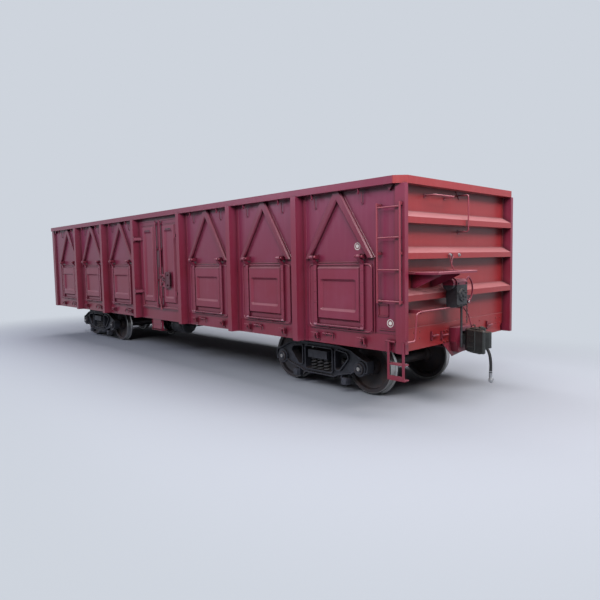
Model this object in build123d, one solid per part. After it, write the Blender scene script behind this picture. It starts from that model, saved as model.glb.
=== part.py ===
"""Open-top bogie wagon with side doors, in millimetres.

Frame: X runs along the wagon towards the hand-brake end, Y across it, Z up. The origin is at
the middle of the wagon, on the level of the wheel flange tips. Heights named *_H are counted
from the top of the rail, which lies RAIL_Z above the origin.
"""
from build123d import *
import math
import os

os.makedirs("parts", exist_ok=True)

# --- driving dimensions -------------------------------------------------------------------
INNER_LENGTH = 12490.0      # load space
INNER_WIDTH = 2890.0
FLOOR_H = 1082.0            # top of the floor above the rail
TOP_H = 3142.0              # top of the top chord above the rail
SHEET = 6.0                 # floor, side and end sheets
FLANGE_HEIGHT = 27.0        # wheel flange below the top of the rail
WHEEL_RADIUS = 420.0
WHEEL_BACK = 676.5          # back face of a wheel from the wagon's middle plane
RIM_WIDTH = 135.0
WHEELBASE = 1750.0          # axle to axle in one bogie
BOGIE_OVERHANG = 1901.0     # from the middle of a bogie to the outside of the end sheet
COUPLER_H = 880.0           # coupler axis above the rail
PULLING_REACH = 468.0       # from the outside of the end sheet to the pulling face of the coupler

SILL_DEPTH = 240.0
SILL_FLANGE = 80.0
SILL_WEB = 8.0
CENTRE_SILL_DEPTH = 310.0
CENTRE_SILL_HALF = 176.0    # outside of a web from the middle plane
CENTRE_SILL_FLANGE = 114.0
CENTRE_SILL_PLATE = 12.0

CHORD_DEPTH = 100.0
CHORD_WIDTH = 126.0
CHORD_CHAMFER = 130.0       # outer corners of the top chord, in plan

POST_FRONT = 110.0          # hat-section side post
POST_ROOT = 150.0
POST_DEPTH = 149.0
POST_PLATE = 8.0
POST_FLANGE = 60.0
DOOR_POST_X = 990.0
BAY_PROPORTIONS = (1700.0, 1710.0, 1851.0)  # door post to second post, to third post, to the end sheet

CENTRE_OPENING_HALF = DOOR_POST_X - 180.0    # centre door opening, from the middle of the wagon
CENTRE_OPENING_HEIGHT = TOP_H - FLOOR_H - 160.0
LOWER_OPENING_HEIGHT = 918.0
DOOR_LAP = 25.0             # a door covers the edge of its opening by this much
DOOR_GAP = 5.0              # between a shut door and the sheet behind it
DOOR_PLATE = 8.0

BRACE_DEPTH = 60.0
BRACE_WIDTH = 90.0

HINGE_PIN_RADIUS = 12.0
PIN_CLEARANCE = 0.3
HINGE_EYE_RADIUS = 26.0
LOWER_PIN_STAND = 109.0     # lower door hinge pin out from the side sheet
LOWER_PIN_RISE = 120.0      # and over the top of its opening
CENTRE_PIN_STAND = 146.0    # centre door hinge pin out from the side sheet
CENTRE_HINGE_SHARES = (358 / 1900, 1528 / 1900)   # of the height of the centre opening

END_DEPTH = 140.0           # ribs and corner posts stand out from the end sheet
CORNER_STAND = 49.0         # outside of a corner post from the side sheet
CORNER_WIDTH = 70.0
END_PLATE = 8.0

SEAT_GAP = 0.3              # between rigid pieces that sit on each other with round faces

# --- derived places -----------------------------------------------------------------------
RAIL_Z = FLANGE_HEIGHT
FLOOR_TOP = RAIL_Z + FLOOR_H
FLOOR_UNDER = FLOOR_TOP - SHEET
TOP_Z = RAIL_Z + TOP_H
CHORD_UNDER = TOP_Z - CHORD_DEPTH
SILL_UNDER = FLOOR_UNDER - SILL_DEPTH
WALL_INSIDE = INNER_WIDTH / 2
WALL_FACE = WALL_INSIDE + SHEET
END_INSIDE = INNER_LENGTH / 2
END_FACE = END_INSIDE + SHEET
END_FRONT = END_FACE + END_DEPTH
BOGIE_X = END_FACE - BOGIE_OVERHANG
AXLE_Z = RAIL_Z + WHEEL_RADIUS
COUPLER_Z = RAIL_Z + COUPLER_H
PULLING_FACE = END_FACE + PULLING_REACH
CORNER_HALF = WALL_FACE + CORNER_STAND
BODY_HEIGHT = TOP_H - FLOOR_H
CENTRE_SILL_UNDER = FLOOR_UNDER - CENTRE_SILL_DEPTH
CENTRE_SILL_REACH = CENTRE_SILL_HALF + CENTRE_SILL_FLANGE
LOWER_OPENING_TOP = FLOOR_TOP + LOWER_OPENING_HEIGHT
CENTRE_OPENING_TOP = FLOOR_TOP + CENTRE_OPENING_HEIGHT
LOWER_PIN_Y = WALL_FACE + LOWER_PIN_STAND
LOWER_PIN_Z = LOWER_OPENING_TOP + LOWER_PIN_RISE
CENTRE_PIN_X = DOOR_POST_X - 105.0
CENTRE_PIN_Y = WALL_FACE + CENTRE_PIN_STAND
CENTRE_HINGE_Z = tuple(FLOOR_TOP + share * CENTRE_OPENING_HEIGHT for share in CENTRE_HINGE_SHARES)
DOOR_FACE = WALL_FACE + DOOR_GAP            # inner face of every shut door
LAST_BAY_SHIFT = 117.0                      # the door of the last bay stands off the ladder
BAY_SCALE = (END_FACE - DOOR_POST_X) / sum(BAY_PROPORTIONS)
SECOND_POST_X = DOOR_POST_X + BAY_PROPORTIONS[0] * BAY_SCALE
THIRD_POST_X = SECOND_POST_X + BAY_PROPORTIONS[1] * BAY_SCALE
LOWER_OPENING_WIDTH = SECOND_POST_X - DOOR_POST_X - 510.0
STRAP_OFFSET = LOWER_OPENING_WIDTH / 2 - 140.0      # hinge strap from the middle of its door
BRACE_FOOT_Z = LOWER_PIN_Z - 20.0
POSTS = (DOOR_POST_X, SECOND_POST_X, THIRD_POST_X)
BAYS = (("a", (DOOR_POST_X + SECOND_POST_X) / 2),
        ("b", (SECOND_POST_X + THIRD_POST_X) / 2),
        ("c", (THIRD_POST_X + END_FACE) / 2 - LAST_BAY_SHIFT))


# --- helpers ------------------------------------------------------------------------------
def block(x0, x1, y0, y1, z0, z1):
    """Box between two corners."""
    return Pos((x0 + x1) / 2, (y0 + y1) / 2, (z0 + z1) / 2) * Box(abs(x1 - x0), abs(y1 - y0), abs(z1 - z0))


def along_x(outline, x0, x1):
    """Prism of a (y, z) outline from x0 to x1."""
    face = make_face(Polyline(*outline, close=True))
    return extrude(Plane.YZ.offset(x0) * face, amount=x1 - x0)


def along_y(outline, y0, y1):
    """Prism of an (x, z) outline from y0 to y1."""
    face = make_face(Polyline(*outline, close=True))
    return extrude(Plane.XZ.offset(-y1) * face, amount=y1 - y0)


def along_z(outline, z0, z1):
    """Prism of an (x, y) outline from z0 to z1."""
    face = make_face(Polyline(*outline, close=True))
    return extrude(Plane.XY.offset(z0) * face, amount=z1 - z0)


def bar(start, end, radius):
    """Round bar between two points."""
    direction = Vector(*end) - Vector(*start)
    plane = Plane(origin=start, z_dir=direction)
    return extrude(plane * Circle(radius), amount=direction.length)


def other_side(shape):
    """The same piece on the other side of the wagon."""
    return mirror(shape, about=Plane.XZ)


def turned(shape):
    """The same piece at the other end, turned half a turn about the middle."""
    return Rot(0, 0, 180) * shape


def four_corners(shape):
    """A piece of the near right quarter, repeated in all four quarters."""
    pair = [shape, other_side(shape)]
    return pair + [turned(piece) for piece in pair]


def save(name, *shapes):
    """Write the given solids as one node."""
    solids = [solid for shape in shapes for solid in shape.solids()]
    export_step(Compound(children=solids) if len(solids) > 1 else solids[0], f"parts/{name}.step")


# --- underframe ---------------------------------------------------------------------------
def floor_plate():
    """Floor sheet between the side sheets."""
    return block(-END_INSIDE, END_INSIDE, -WALL_INSIDE, WALL_INSIDE, FLOOR_UNDER, FLOOR_TOP)


def centre_sill_outline():
    """Section of two Z bars under a joined top, open below."""
    web_inside = CENTRE_SILL_HALF - CENTRE_SILL_PLATE
    flange_top = CENTRE_SILL_UNDER + CENTRE_SILL_PLATE
    half = [(CENTRE_SILL_HALF, FLOOR_UNDER), (CENTRE_SILL_HALF, flange_top),
            (CENTRE_SILL_REACH, flange_top), (CENTRE_SILL_REACH, CENTRE_SILL_UNDER),
            (web_inside, CENTRE_SILL_UNDER), (web_inside, FLOOR_UNDER - CENTRE_SILL_PLATE)]
    return half + [(-y, z) for y, z in reversed(half)]


def centre_sill():
    """Sill that carries the pull, from end sill to end sill."""
    reach = END_FACE - SILL_WEB
    return along_x(centre_sill_outline(), -reach, reach)


def side_sill():
    """Channel under one side sheet, open inwards."""
    face, root = -WALL_FACE, -WALL_FACE + SILL_WEB
    inner = -WALL_FACE + SILL_FLANGE
    outline = [(face, SILL_UNDER), (inner, SILL_UNDER), (inner, SILL_UNDER + SILL_WEB),
               (root, SILL_UNDER + SILL_WEB), (root, FLOOR_UNDER - SILL_WEB),
               (inner, FLOOR_UNDER - SILL_WEB), (inner, FLOOR_UNDER), (face, FLOOR_UNDER)]
    return along_x(outline, -END_FACE, END_FACE)


END_PLATE_TOP = FLOOR_TOP + 58.0
END_CUT_WIDTH = 200.0
END_CUT_HEIGHT = 150.0
SHANK_WINDOW = 110.0         # half the opening for the coupler shank


def end_sill():
    """Channel across the end, with the end plate that covers the foot of the end sheet."""
    reach = WALL_FACE - SILL_FLANGE
    web_inside = END_FACE - SILL_WEB
    inner = END_FACE - SILL_FLANGE
    outline = [(END_FACE, SILL_UNDER), (inner, SILL_UNDER), (inner, SILL_UNDER + SILL_WEB),
               (web_inside, SILL_UNDER + SILL_WEB), (web_inside, FLOOR_UNDER - SILL_WEB),
               (inner, FLOOR_UNDER - SILL_WEB), (inner, FLOOR_UNDER), (END_FACE, FLOOR_UNDER)]
    channel = along_y(outline, -reach, reach)
    notch = block(END_FACE - SILL_FLANGE, web_inside, -CENTRE_SILL_REACH, CENTRE_SILL_REACH,
                  CENTRE_SILL_UNDER, FLOOR_UNDER)
    plate_reach = CORNER_HALF - CORNER_WIDTH
    plate_outline = [(-plate_reach + END_CUT_WIDTH, SILL_UNDER), (plate_reach - END_CUT_WIDTH, SILL_UNDER),
                     (plate_reach, SILL_UNDER + END_CUT_HEIGHT), (plate_reach, END_PLATE_TOP),
                     (-plate_reach, END_PLATE_TOP), (-plate_reach, SILL_UNDER + END_CUT_HEIGHT)]
    plate = along_x(plate_outline, END_FACE, END_FACE + END_PLATE)
    window = block(inner - 10, END_FACE + END_PLATE + 10, -SHANK_WINDOW, SHANK_WINDOW,
                   COUPLER_Z - SHANK_WINDOW, COUPLER_Z + SHANK_WINDOW)
    return channel - notch + plate - window


BOLSTER_HALF = 210.0
BOLSTER_UNDER = CENTRE_SILL_UNDER - CENTRE_SILL_PLATE
BOLSTER_FLAT = 600.0
BOLSTER_TIP_DEPTH = 150.0
CENTRE_PLATE_RADIUS = 150.0
CENTRE_PLATE_UNDER = RAIL_Z + 672.0
SIDE_BEARER_Y = 760.0
SIDE_BEARER_UNDER = RAIL_Z + 706.0


def body_bolster():
    """Cross beam over a bogie, with the upper centre plate and the upper side bearers."""
    tip = WALL_FACE - SILL_FLANGE
    half = [(BOLSTER_FLAT, BOLSTER_UNDER), (tip, FLOOR_UNDER - BOLSTER_TIP_DEPTH), (tip, FLOOR_UNDER)]
    outline = half + [(-y, z) for y, z in reversed(half)]
    beam = along_x(outline, BOGIE_X - BOLSTER_HALF, BOGIE_X + BOLSTER_HALF)
    sill = along_x(centre_sill_outline(), BOGIE_X - BOLSTER_HALF, BOGIE_X + BOLSTER_HALF)
    plate_height = BOLSTER_UNDER - CENTRE_PLATE_UNDER
    plate = Pos(BOGIE_X, 0, CENTRE_PLATE_UNDER + plate_height / 2) * Cylinder(CENTRE_PLATE_RADIUS, plate_height)
    solid = beam - sill + plate
    for side in (-1, 1):
        solid += block(BOGIE_X - 60, BOGIE_X + 60, side * (SIDE_BEARER_Y - 60), side * (SIDE_BEARER_Y + 60),
                       SIDE_BEARER_UNDER, RAIL_Z + 800.0)
    return solid


BEAM_PLATE = 10.0
BEARER_TIP_DEPTH = 140.0
BEARER_WIDTH = 120.0
JOIST_DEPTH = 120.0
JOIST_WIDTH = 60.0


def cross_bearer(x, depth, width):
    """Beam from the centre sill to the side sill, deeper at the middle."""
    inner = CENTRE_SILL_HALF
    tip = WALL_FACE - SILL_FLANGE
    tip_depth = min(depth, BEARER_TIP_DEPTH)
    outline = [(inner, FLOOR_UNDER), (tip, FLOOR_UNDER), (tip, FLOOR_UNDER - tip_depth),
               (CENTRE_SILL_REACH, FLOOR_UNDER - depth), (inner, FLOOR_UNDER - depth)]
    beam = along_x(outline, x - width / 2, x + width / 2)
    plate = BEAM_PLATE
    pocket = [(inner - 5, FLOOR_UNDER - plate), (tip + 5, FLOOR_UNDER - plate),
              (tip + 5, FLOOR_UNDER - tip_depth + plate), (CENTRE_SILL_REACH, FLOOR_UNDER - depth + plate),
              (inner - 5, FLOOR_UNDER - depth + plate)]
    for side in (-1, 1):
        beam -= along_x(pocket, x + side * plate / 2, x + side * (width / 2 + 5))
    return beam


CROSS_BEARERS = (DOOR_POST_X, SECOND_POST_X)
JOISTS = (BAYS[1][1] - 150.0, BAYS[2][1], END_FACE - 351.0)
BEARER_DEPTH = CENTRE_SILL_DEPTH - CENTRE_SILL_PLATE


def cross_bearers():
    """All beams under the floor apart from the bolsters."""
    pieces = []
    for x in CROSS_BEARERS:
        pieces += four_corners(cross_bearer(x, BEARER_DEPTH, BEARER_WIDTH))
    for x in JOISTS:
        pieces += four_corners(cross_bearer(x, JOIST_DEPTH, JOIST_WIDTH))
    middle = cross_bearer(0.0, BEARER_DEPTH, BEARER_WIDTH)
    return pieces + [middle, other_side(middle)]


# --- sides --------------------------------------------------------------------------------
def upper_side_sheet():
    """Side sheet above the lower doors, from the centre door to the end."""
    return block(CENTRE_OPENING_HALF, END_FACE, -WALL_FACE, -WALL_INSIDE, LOWER_OPENING_TOP, CHORD_UNDER)


def lower_side_sheets():
    """Side sheets between the lower doors, from the centre door to the end."""
    half = LOWER_OPENING_WIDTH / 2
    edges = [CENTRE_OPENING_HALF]
    for _, middle in BAYS:
        edges += [middle - half, middle + half]
    edges.append(END_FACE)
    return [block(edges[i], edges[i + 1], -WALL_FACE, -WALL_INSIDE, FLOOR_UNDER, LOWER_OPENING_TOP)
            for i in range(0, len(edges), 2)]


def door_header():
    """Side sheet over the centre door."""
    return block(-CENTRE_OPENING_HALF, CENTRE_OPENING_HALF, -WALL_FACE, -WALL_INSIDE,
                 CENTRE_OPENING_TOP, CHORD_UNDER)


def side_post(x):
    """Hat-section post on the near side, from the side sill to the top chord."""
    front = -WALL_FACE - POST_DEPTH
    root_half = POST_ROOT / 2
    front_half = POST_FRONT / 2
    outer = [(-root_half - POST_FLANGE, -WALL_FACE), (root_half + POST_FLANGE, -WALL_FACE),
             (root_half + POST_FLANGE, -WALL_FACE - POST_PLATE), (root_half, -WALL_FACE - POST_PLATE),
             (front_half, front), (-front_half, front),
             (-root_half, -WALL_FACE - POST_PLATE), (-root_half - POST_FLANGE, -WALL_FACE - POST_PLATE)]
    hollow = [(root_half - POST_PLATE, -WALL_FACE), (front_half - POST_PLATE, front + POST_PLATE),
              (-front_half + POST_PLATE, front + POST_PLATE), (-root_half + POST_PLATE, -WALL_FACE)]
    post = along_z(outer, SILL_UNDER, CHORD_UNDER) - along_z(hollow, SILL_UNDER, CHORD_UNDER)
    return Pos(x, 0, 0) * post


LUG_PLATE = 10.0
LUG_HALF_HEIGHT = 40.0
HINGE_STRAP_WIDTH = 60.0
LUG_SIDE_GAP = 5.0
LUG_REACH = HINGE_STRAP_WIDTH / 2 + LUG_SIDE_GAP


def centre_hinge_lugs():
    """Lugs and pins on a door post that carry the centre door leaf beside it."""
    post_edge = DOOR_POST_X - POST_FRONT / 2
    pieces = []
    for middle in CENTRE_HINGE_Z:
        for low in (middle - LUG_REACH - LUG_PLATE, middle + LUG_REACH):
            outline = [(CENTRE_PIN_X - HINGE_EYE_RADIUS + 6, -CENTRE_PIN_Y + 20),
                       (CENTRE_PIN_X - HINGE_EYE_RADIUS + 6, -CENTRE_PIN_Y - 20),
                       (post_edge + 2, -CENTRE_PIN_Y - 3), (post_edge - 1, -CENTRE_PIN_Y + 60)]
            pieces.append(along_z(outline, low, low + LUG_PLATE))
        pin_half = LUG_REACH + LUG_PLATE + 12
        pieces.append(bar((CENTRE_PIN_X, -CENTRE_PIN_Y, middle - pin_half),
                          (CENTRE_PIN_X, -CENTRE_PIN_Y, middle + pin_half), HINGE_PIN_RADIUS))
    return pieces


def door_post():
    """Post beside the centre door, with the lugs and pins of its leaf."""
    post = side_post(DOOR_POST_X)
    for piece in centre_hinge_lugs():
        post += piece
    return post


BRACE_CLEARANCE = 13.0      # between a brace and the hinge lug beside its foot


def brace_slope():
    """Foot of a brace from the middle of its bay, and the brace's width along the wagon."""
    rise = CHORD_UNDER - BRACE_FOOT_Z
    lug_top = LOWER_PIN_Z + LUG_HALF_HEIGHT - BRACE_FOOT_Z
    beside_lug = STRAP_OFFSET + LUG_REACH + LUG_PLATE + BRACE_CLEARANCE
    run = beside_lug
    for _ in range(20):
        across = BRACE_WIDTH * math.hypot(run, rise) / rise
        run = (beside_lug + across / 2) / (1 - lug_top / rise)
    return run, across


def side_brace(middle):
    """Pair of pressed braces that meet under the top chord, over one lower door."""
    foot_z = BRACE_FOOT_Z
    run, across = brace_slope()
    rise = CHORD_UNDER - foot_z
    inner_top = CHORD_UNDER - (across - 20.0) * rise / run
    outline = [(middle - run - across / 2, foot_z), (middle - run + across / 2, foot_z),
               (middle, inner_top), (middle + run - across / 2, foot_z),
               (middle + run + across / 2, foot_z), (middle + across / 2 + 10.0, CHORD_UNDER),
               (middle - across / 2 - 10.0, CHORD_UNDER)]
    brace = along_y(outline, -WALL_FACE - BRACE_DEPTH, -WALL_FACE)
    front = brace.faces().sort_by(Axis.Y)[0]
    slanted = [edge for edge in front.edges() if abs(edge.tangent_at(0.5).Z) > 0.3]
    return chamfer(slanted, 18.0)


def lower_hinge_lugs(middle):
    """Lugs and pins over one lower door, two hinges."""
    pieces = []
    for side in (-1, 1):
        x = middle + side * STRAP_OFFSET
        outline = [(-WALL_FACE, LOWER_PIN_Z - LUG_HALF_HEIGHT), (-WALL_FACE, LOWER_PIN_Z + LUG_HALF_HEIGHT),
                   (-LOWER_PIN_Y - 18, LOWER_PIN_Z + 18), (-LOWER_PIN_Y - 18, LOWER_PIN_Z - 18)]
        lug = along_x(outline, x + LUG_REACH, x + LUG_REACH + LUG_PLATE)
        lug += along_x(outline, x - LUG_REACH - LUG_PLATE, x - LUG_REACH)
        pin_half = LUG_REACH + LUG_PLATE + 12
        pieces.append(lug + bar((x - pin_half, -LOWER_PIN_Y, LOWER_PIN_Z),
                                (x + pin_half, -LOWER_PIN_Y, LOWER_PIN_Z), HINGE_PIN_RADIUS))
    return pieces


LATCH_DEPTH = 46.0


def door_latches(middle):
    """Two catches on the side sill that hold the straps of one lower door."""
    pieces = []
    for side in (-1, 1):
        x = middle + side * STRAP_OFFSET
        base = block(x - 42, x + 42, -WALL_FACE - 12, -WALL_FACE, SILL_UNDER + 25, SILL_UNDER + 150)
        base += block(x - 30, x - 12, -WALL_FACE - LATCH_DEPTH, -WALL_FACE, SILL_UNDER + 60, SILL_UNDER + 150)
        base += block(x + 12, x + 30, -WALL_FACE - LATCH_DEPTH, -WALL_FACE, SILL_UNDER + 60, SILL_UNDER + 150)
        base += bar((x - 42, -WALL_FACE - 32, SILL_UNDER + 120), (x + 42, -WALL_FACE - 32, SILL_UNDER + 120), 9.0)
        pieces.append(base)
    return pieces


HOOK_OFFSET = STRAP_OFFSET - 5.0


def chord_hooks(middle):
    """Two hooks under the top chord that hold one lower door when it is swung up."""
    outer = -WALL_INSIDE - CHORD_WIDTH
    pieces = []
    for side in (-1, 1):
        x = middle + side * HOOK_OFFSET
        outline = [(outer + 6, CHORD_UNDER), (outer + 56, CHORD_UNDER), (outer + 36, CHORD_UNDER - 80),
                   (outer + 4, CHORD_UNDER - 86), (outer + 4, CHORD_UNDER - 66), (outer + 20, CHORD_UNDER - 60)]
        pieces.append(along_x(outline, x - 6, x + 6))
    return pieces


# --- doors --------------------------------------------------------------------------------
PANEL_RISE = 36.0
PANEL_RECESS = 30.0
STRAP_DEPTH = 34.0
PANEL_HEIGHT = LOWER_OPENING_HEIGHT - 138.0
PANEL_MIDDLE_Z = FLOOR_TOP + LOWER_OPENING_HEIGHT / 2 + 49.0
RECESS_DROP = 23.0          # middle of the recess below the middle of its panel
RECESS_CORNER = 40.0
STRAP_FOOT_Z = FLOOR_TOP + 23.0
LEDGE_Z = FLOOR_TOP + 28.0


def eye_x(x, width, y, z):
    """Hinge eye with its bore along X."""
    ring = bar((x - width / 2, y, z), (x + width / 2, y, z), HINGE_EYE_RADIUS)
    return ring, bar((x - width, y, z), (x + width, y, z), HINGE_PIN_RADIUS + PIN_CLEARANCE)


def lower_door(middle):
    """Door of one bay: plate, pressed panel, bottom ledge and two hinge straps."""
    half = LOWER_OPENING_WIDTH / 2 + DOOR_LAP
    bottom = FLOOR_TOP - DOOR_LAP
    top = LOWER_OPENING_TOP + DOOR_LAP
    outside = -DOOR_FACE - DOOR_PLATE
    height = top - bottom
    plane = Plane(origin=(middle, -DOOR_FACE, (top + bottom) / 2), x_dir=(1, 0, 0), z_dir=(0, -1, 0))
    door = extrude(plane * RectangleRounded(2 * half, height, 55.0), amount=DOOR_PLATE)
    panel_plane = Plane(origin=(middle, outside, PANEL_MIDDLE_Z), x_dir=(1, 0, 0), z_dir=(0, -1, 0))
    door += extrude(panel_plane * Rectangle(2 * (STRAP_OFFSET - 36), PANEL_HEIGHT), amount=PANEL_RISE, taper=35)
    recess_plane = panel_plane.offset(PANEL_RISE)
    recess_shape = Pos(0, -RECESS_DROP) * RectangleRounded(2 * (STRAP_OFFSET - 105), PANEL_HEIGHT - 313.0, RECESS_CORNER)
    recess = extrude(recess_plane * recess_shape, amount=-PANEL_RECESS, taper=50)
    door -= recess
    door += block(middle - STRAP_OFFSET + 30, middle + STRAP_OFFSET - 30, outside - 42, outside,
                  LEDGE_Z - 10, LEDGE_Z + 10)
    for side in (-1, 1):
        x = middle + side * STRAP_OFFSET
        strap_outline = [(outside, STRAP_FOOT_Z), (outside - STRAP_DEPTH, STRAP_FOOT_Z),
                         (outside - STRAP_DEPTH, LOWER_PIN_Z - 110), (-LOWER_PIN_Y - 22, LOWER_PIN_Z - 12),
                         (-LOWER_PIN_Y, LOWER_PIN_Z), (-LOWER_PIN_Y + 22, LOWER_PIN_Z - 12),
                         (outside, LOWER_PIN_Z - 80)]
        half_width = HINGE_STRAP_WIDTH / 2
        ring, bore = eye_x(x, HINGE_STRAP_WIDTH, -LOWER_PIN_Y, LOWER_PIN_Z)
        door += along_x(strap_outline, x - half_width, x + half_width) + ring
        door -= bore
    return door


LEAF_MEETING_GAP = 10.0
LEAF_BAR_X = 92.0
LEAF_BAR_RADIUS = 17.0
LEAF_PANEL_WIDTH = CENTRE_OPENING_HALF - 330.0
LEAF_PANEL_HEIGHT = CENTRE_OPENING_HEIGHT - 260.0
LOCK_BOX_LOW = FLOOR_TOP + 478.0
LOCK_BOX_HIGH = FLOOR_TOP + 748.0


def centre_leaf(with_lock):
    """Right leaf of the near centre door, hinged on the post towards +X."""
    bottom = FLOOR_TOP - DOOR_LAP
    top = CENTRE_OPENING_TOP + 15.0
    inner = LEAF_MEETING_GAP / 2
    outer = CENTRE_OPENING_HALF + DOOR_LAP - 5.0
    outside = -DOOR_FACE - DOOR_PLATE
    leaf = block(inner, outer, outside, -DOOR_FACE, bottom, top)
    panel_x = CENTRE_OPENING_HALF / 2 + 40.0
    panel_plane = Plane(origin=(panel_x, outside, (bottom + top) / 2 + 13.0), x_dir=(1, 0, 0), z_dir=(0, -1, 0))
    leaf += extrude(panel_plane * Rectangle(LEAF_PANEL_WIDTH, LEAF_PANEL_HEIGHT), amount=PANEL_RISE, taper=30)
    recess_plane = panel_plane.offset(PANEL_RISE)
    recess_shape = RectangleRounded(LEAF_PANEL_WIDTH - 150.0, LEAF_PANEL_HEIGHT - 210.0, RECESS_CORNER)
    leaf -= extrude(recess_plane * recess_shape, amount=-PANEL_RECESS, taper=50)
    leaf += block(inner + 20, outer - 60, outside - 42, outside, LEDGE_Z - 10, LEDGE_Z + 10)
    bar_low, bar_high = bottom + 40, top - 40
    lock_bar = bar((LEAF_BAR_X, outside - 30, bar_low), (LEAF_BAR_X, outside - 30, bar_high), LEAF_BAR_RADIUS)
    third = (bar_high - bar_low) / 3
    for z in (bar_low + 60, bar_low + third - 20, bar_high - third + 20, bar_high - 60):
        leaf += block(LEAF_BAR_X - 45, LEAF_BAR_X + 45, outside - 26, outside, z - 25, z + 25)
    leaf += lock_bar
    if with_lock:
        leaf += block(30, 250, outside - 34, outside, LOCK_BOX_LOW, LOCK_BOX_HIGH)
    for z in CENTRE_HINGE_Z:
        half_width = HINGE_STRAP_WIDTH / 2
        strap = along_z([(610.0, outside), (610.0, outside - 14), (775.0, outside - 14),
                         (CENTRE_PIN_X - 16, -CENTRE_PIN_Y - 12), (CENTRE_PIN_X, -CENTRE_PIN_Y),
                         (CENTRE_PIN_X + 8, -CENTRE_PIN_Y + 20), (800.0, outside)],
                        z - half_width, z + half_width)
        eye = bar((CENTRE_PIN_X, -CENTRE_PIN_Y, z - half_width), (CENTRE_PIN_X, -CENTRE_PIN_Y, z + half_width),
                  HINGE_EYE_RADIUS - 6)
        bore = bar((CENTRE_PIN_X, -CENTRE_PIN_Y, z - 60), (CENTRE_PIN_X, -CENTRE_PIN_Y, z + 60),
                   HINGE_PIN_RADIUS + PIN_CLEARANCE)
        leaf = leaf + strap + eye - bore
    return leaf


# --- ends ---------------------------------------------------------------------------------
def end_sheet():
    """Sheet that closes the load space at one end."""
    return block(END_INSIDE, END_FACE, -WALL_INSIDE, WALL_INSIDE, FLOOR_UNDER, CHORD_UNDER)


# each rib: where its sloped top meets the sheet, top of its front, underside, above the rail
# columns: height above the floor, as shares of the body's height, of the top of the slope on the
# sheet, the top edge of the front and the underside
END_RIBS = ((1626 / 2060, 1540 / 2060, 1458 / 2060), (1151 / 2060, 1070 / 2060, 990 / 2060),
            (583 / 2060, 518 / 2060, 438 / 2060))
LAST_RIB_TOP = FLOOR_TOP + END_RIBS[2][0] * BODY_HEIGHT


def end_rib(*shares):
    """Pressed rib across the end, closed at the back by the end sheet."""
    slope_top, front_top, under = (FLOOR_TOP + share * BODY_HEIGHT for share in shares)
    reach = CORNER_HALF - CORNER_WIDTH
    outer = [(END_FACE, slope_top), (END_FRONT, front_top), (END_FRONT, under), (END_FACE, under)]
    hollow = [(END_FACE, slope_top - 2 * END_PLATE), (END_FRONT - END_PLATE, front_top - 1.4 * END_PLATE),
              (END_FRONT - END_PLATE, under + END_PLATE), (END_FACE, under + END_PLATE)]
    return along_y(outer, -reach, reach) - along_y(hollow, -reach, reach)


CORNER_SIDE_LAP = 60.0


def corner_post():
    """Corner post of the near right corner: box on the end, flange along the side."""
    outline = [(END_FACE - CORNER_SIDE_LAP, -WALL_FACE), (END_FACE, -WALL_FACE),
               (END_FACE, -CORNER_HALF + CORNER_WIDTH), (END_FRONT, -CORNER_HALF + CORNER_WIDTH),
               (END_FRONT, -CORNER_HALF), (END_FACE - 12.0, -CORNER_HALF),
               (END_FACE - 20.0, -WALL_FACE - POST_PLATE), (END_FACE - CORNER_SIDE_LAP, -WALL_FACE - POST_PLATE)]
    return along_z(outline, SILL_UNDER, CHORD_UNDER)


def side_chord():
    """Top chord of the near side."""
    return block(-END_INSIDE, END_INSIDE, -WALL_INSIDE - CHORD_WIDTH, -WALL_INSIDE, CHORD_UNDER, TOP_Z)


def end_chord():
    """Top chord of one end, with its outer corners cut off."""
    reach = WALL_INSIDE + CHORD_WIDTH
    half = [(END_INSIDE, reach), (END_FRONT - CHORD_CHAMFER, reach), (END_FRONT, reach - CHORD_CHAMFER)]
    return along_z(half + [(x, -y) for x, y in reversed(half)], CHORD_UNDER, TOP_Z)


# --- ladders and steps --------------------------------------------------------------------
LADDER_FRONT = END_FACE - 286.0
LADDER_REAR = END_FACE + 84.0
LADDER_Y = CORNER_HALF + 35.0
RUNG_SHARES = (441 / 2060, 853 / 2060, 1274 / 2060, 1668 / 2060)   # of the body's height, above the floor
RUNGS_Z = tuple(FLOOR_TOP + share * BODY_HEIGHT for share in RUNG_SHARES)
RUNG_RADIUS = 10.0
STILE_RADIUS = 14.0


def ladder():
    """Four rungs on two stiles, held off the corner by brackets."""
    low, high = RUNGS_Z[0] - 30, RUNGS_Z[-1] + 60
    solid = None
    for x in (LADDER_FRONT, LADDER_REAR):
        stile = bar((x, -LADDER_Y, low), (x, -LADDER_Y, high), STILE_RADIUS)
        solid = stile if solid is None else solid + stile
        seat = WALL_FACE if x < END_FACE - CORNER_SIDE_LAP else CORNER_HALF
        for z in (low + 25, (low + high) / 2, high - 25):
            solid += block(x - 22, x + 22, -LADDER_Y, -seat, z - 18, z + 18)
    for z in RUNGS_Z:
        solid += bar((LADDER_FRONT, -LADDER_Y, z), (LADDER_REAR, -LADDER_Y, z), RUNG_RADIUS)
    return solid


STEP_FRONT = END_FACE - 146.0
STEP_REAR = END_FACE + 129.0
STEP_HEIGHTS = (485.0, 690.0)
STEP_BAR = 12.0


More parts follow.
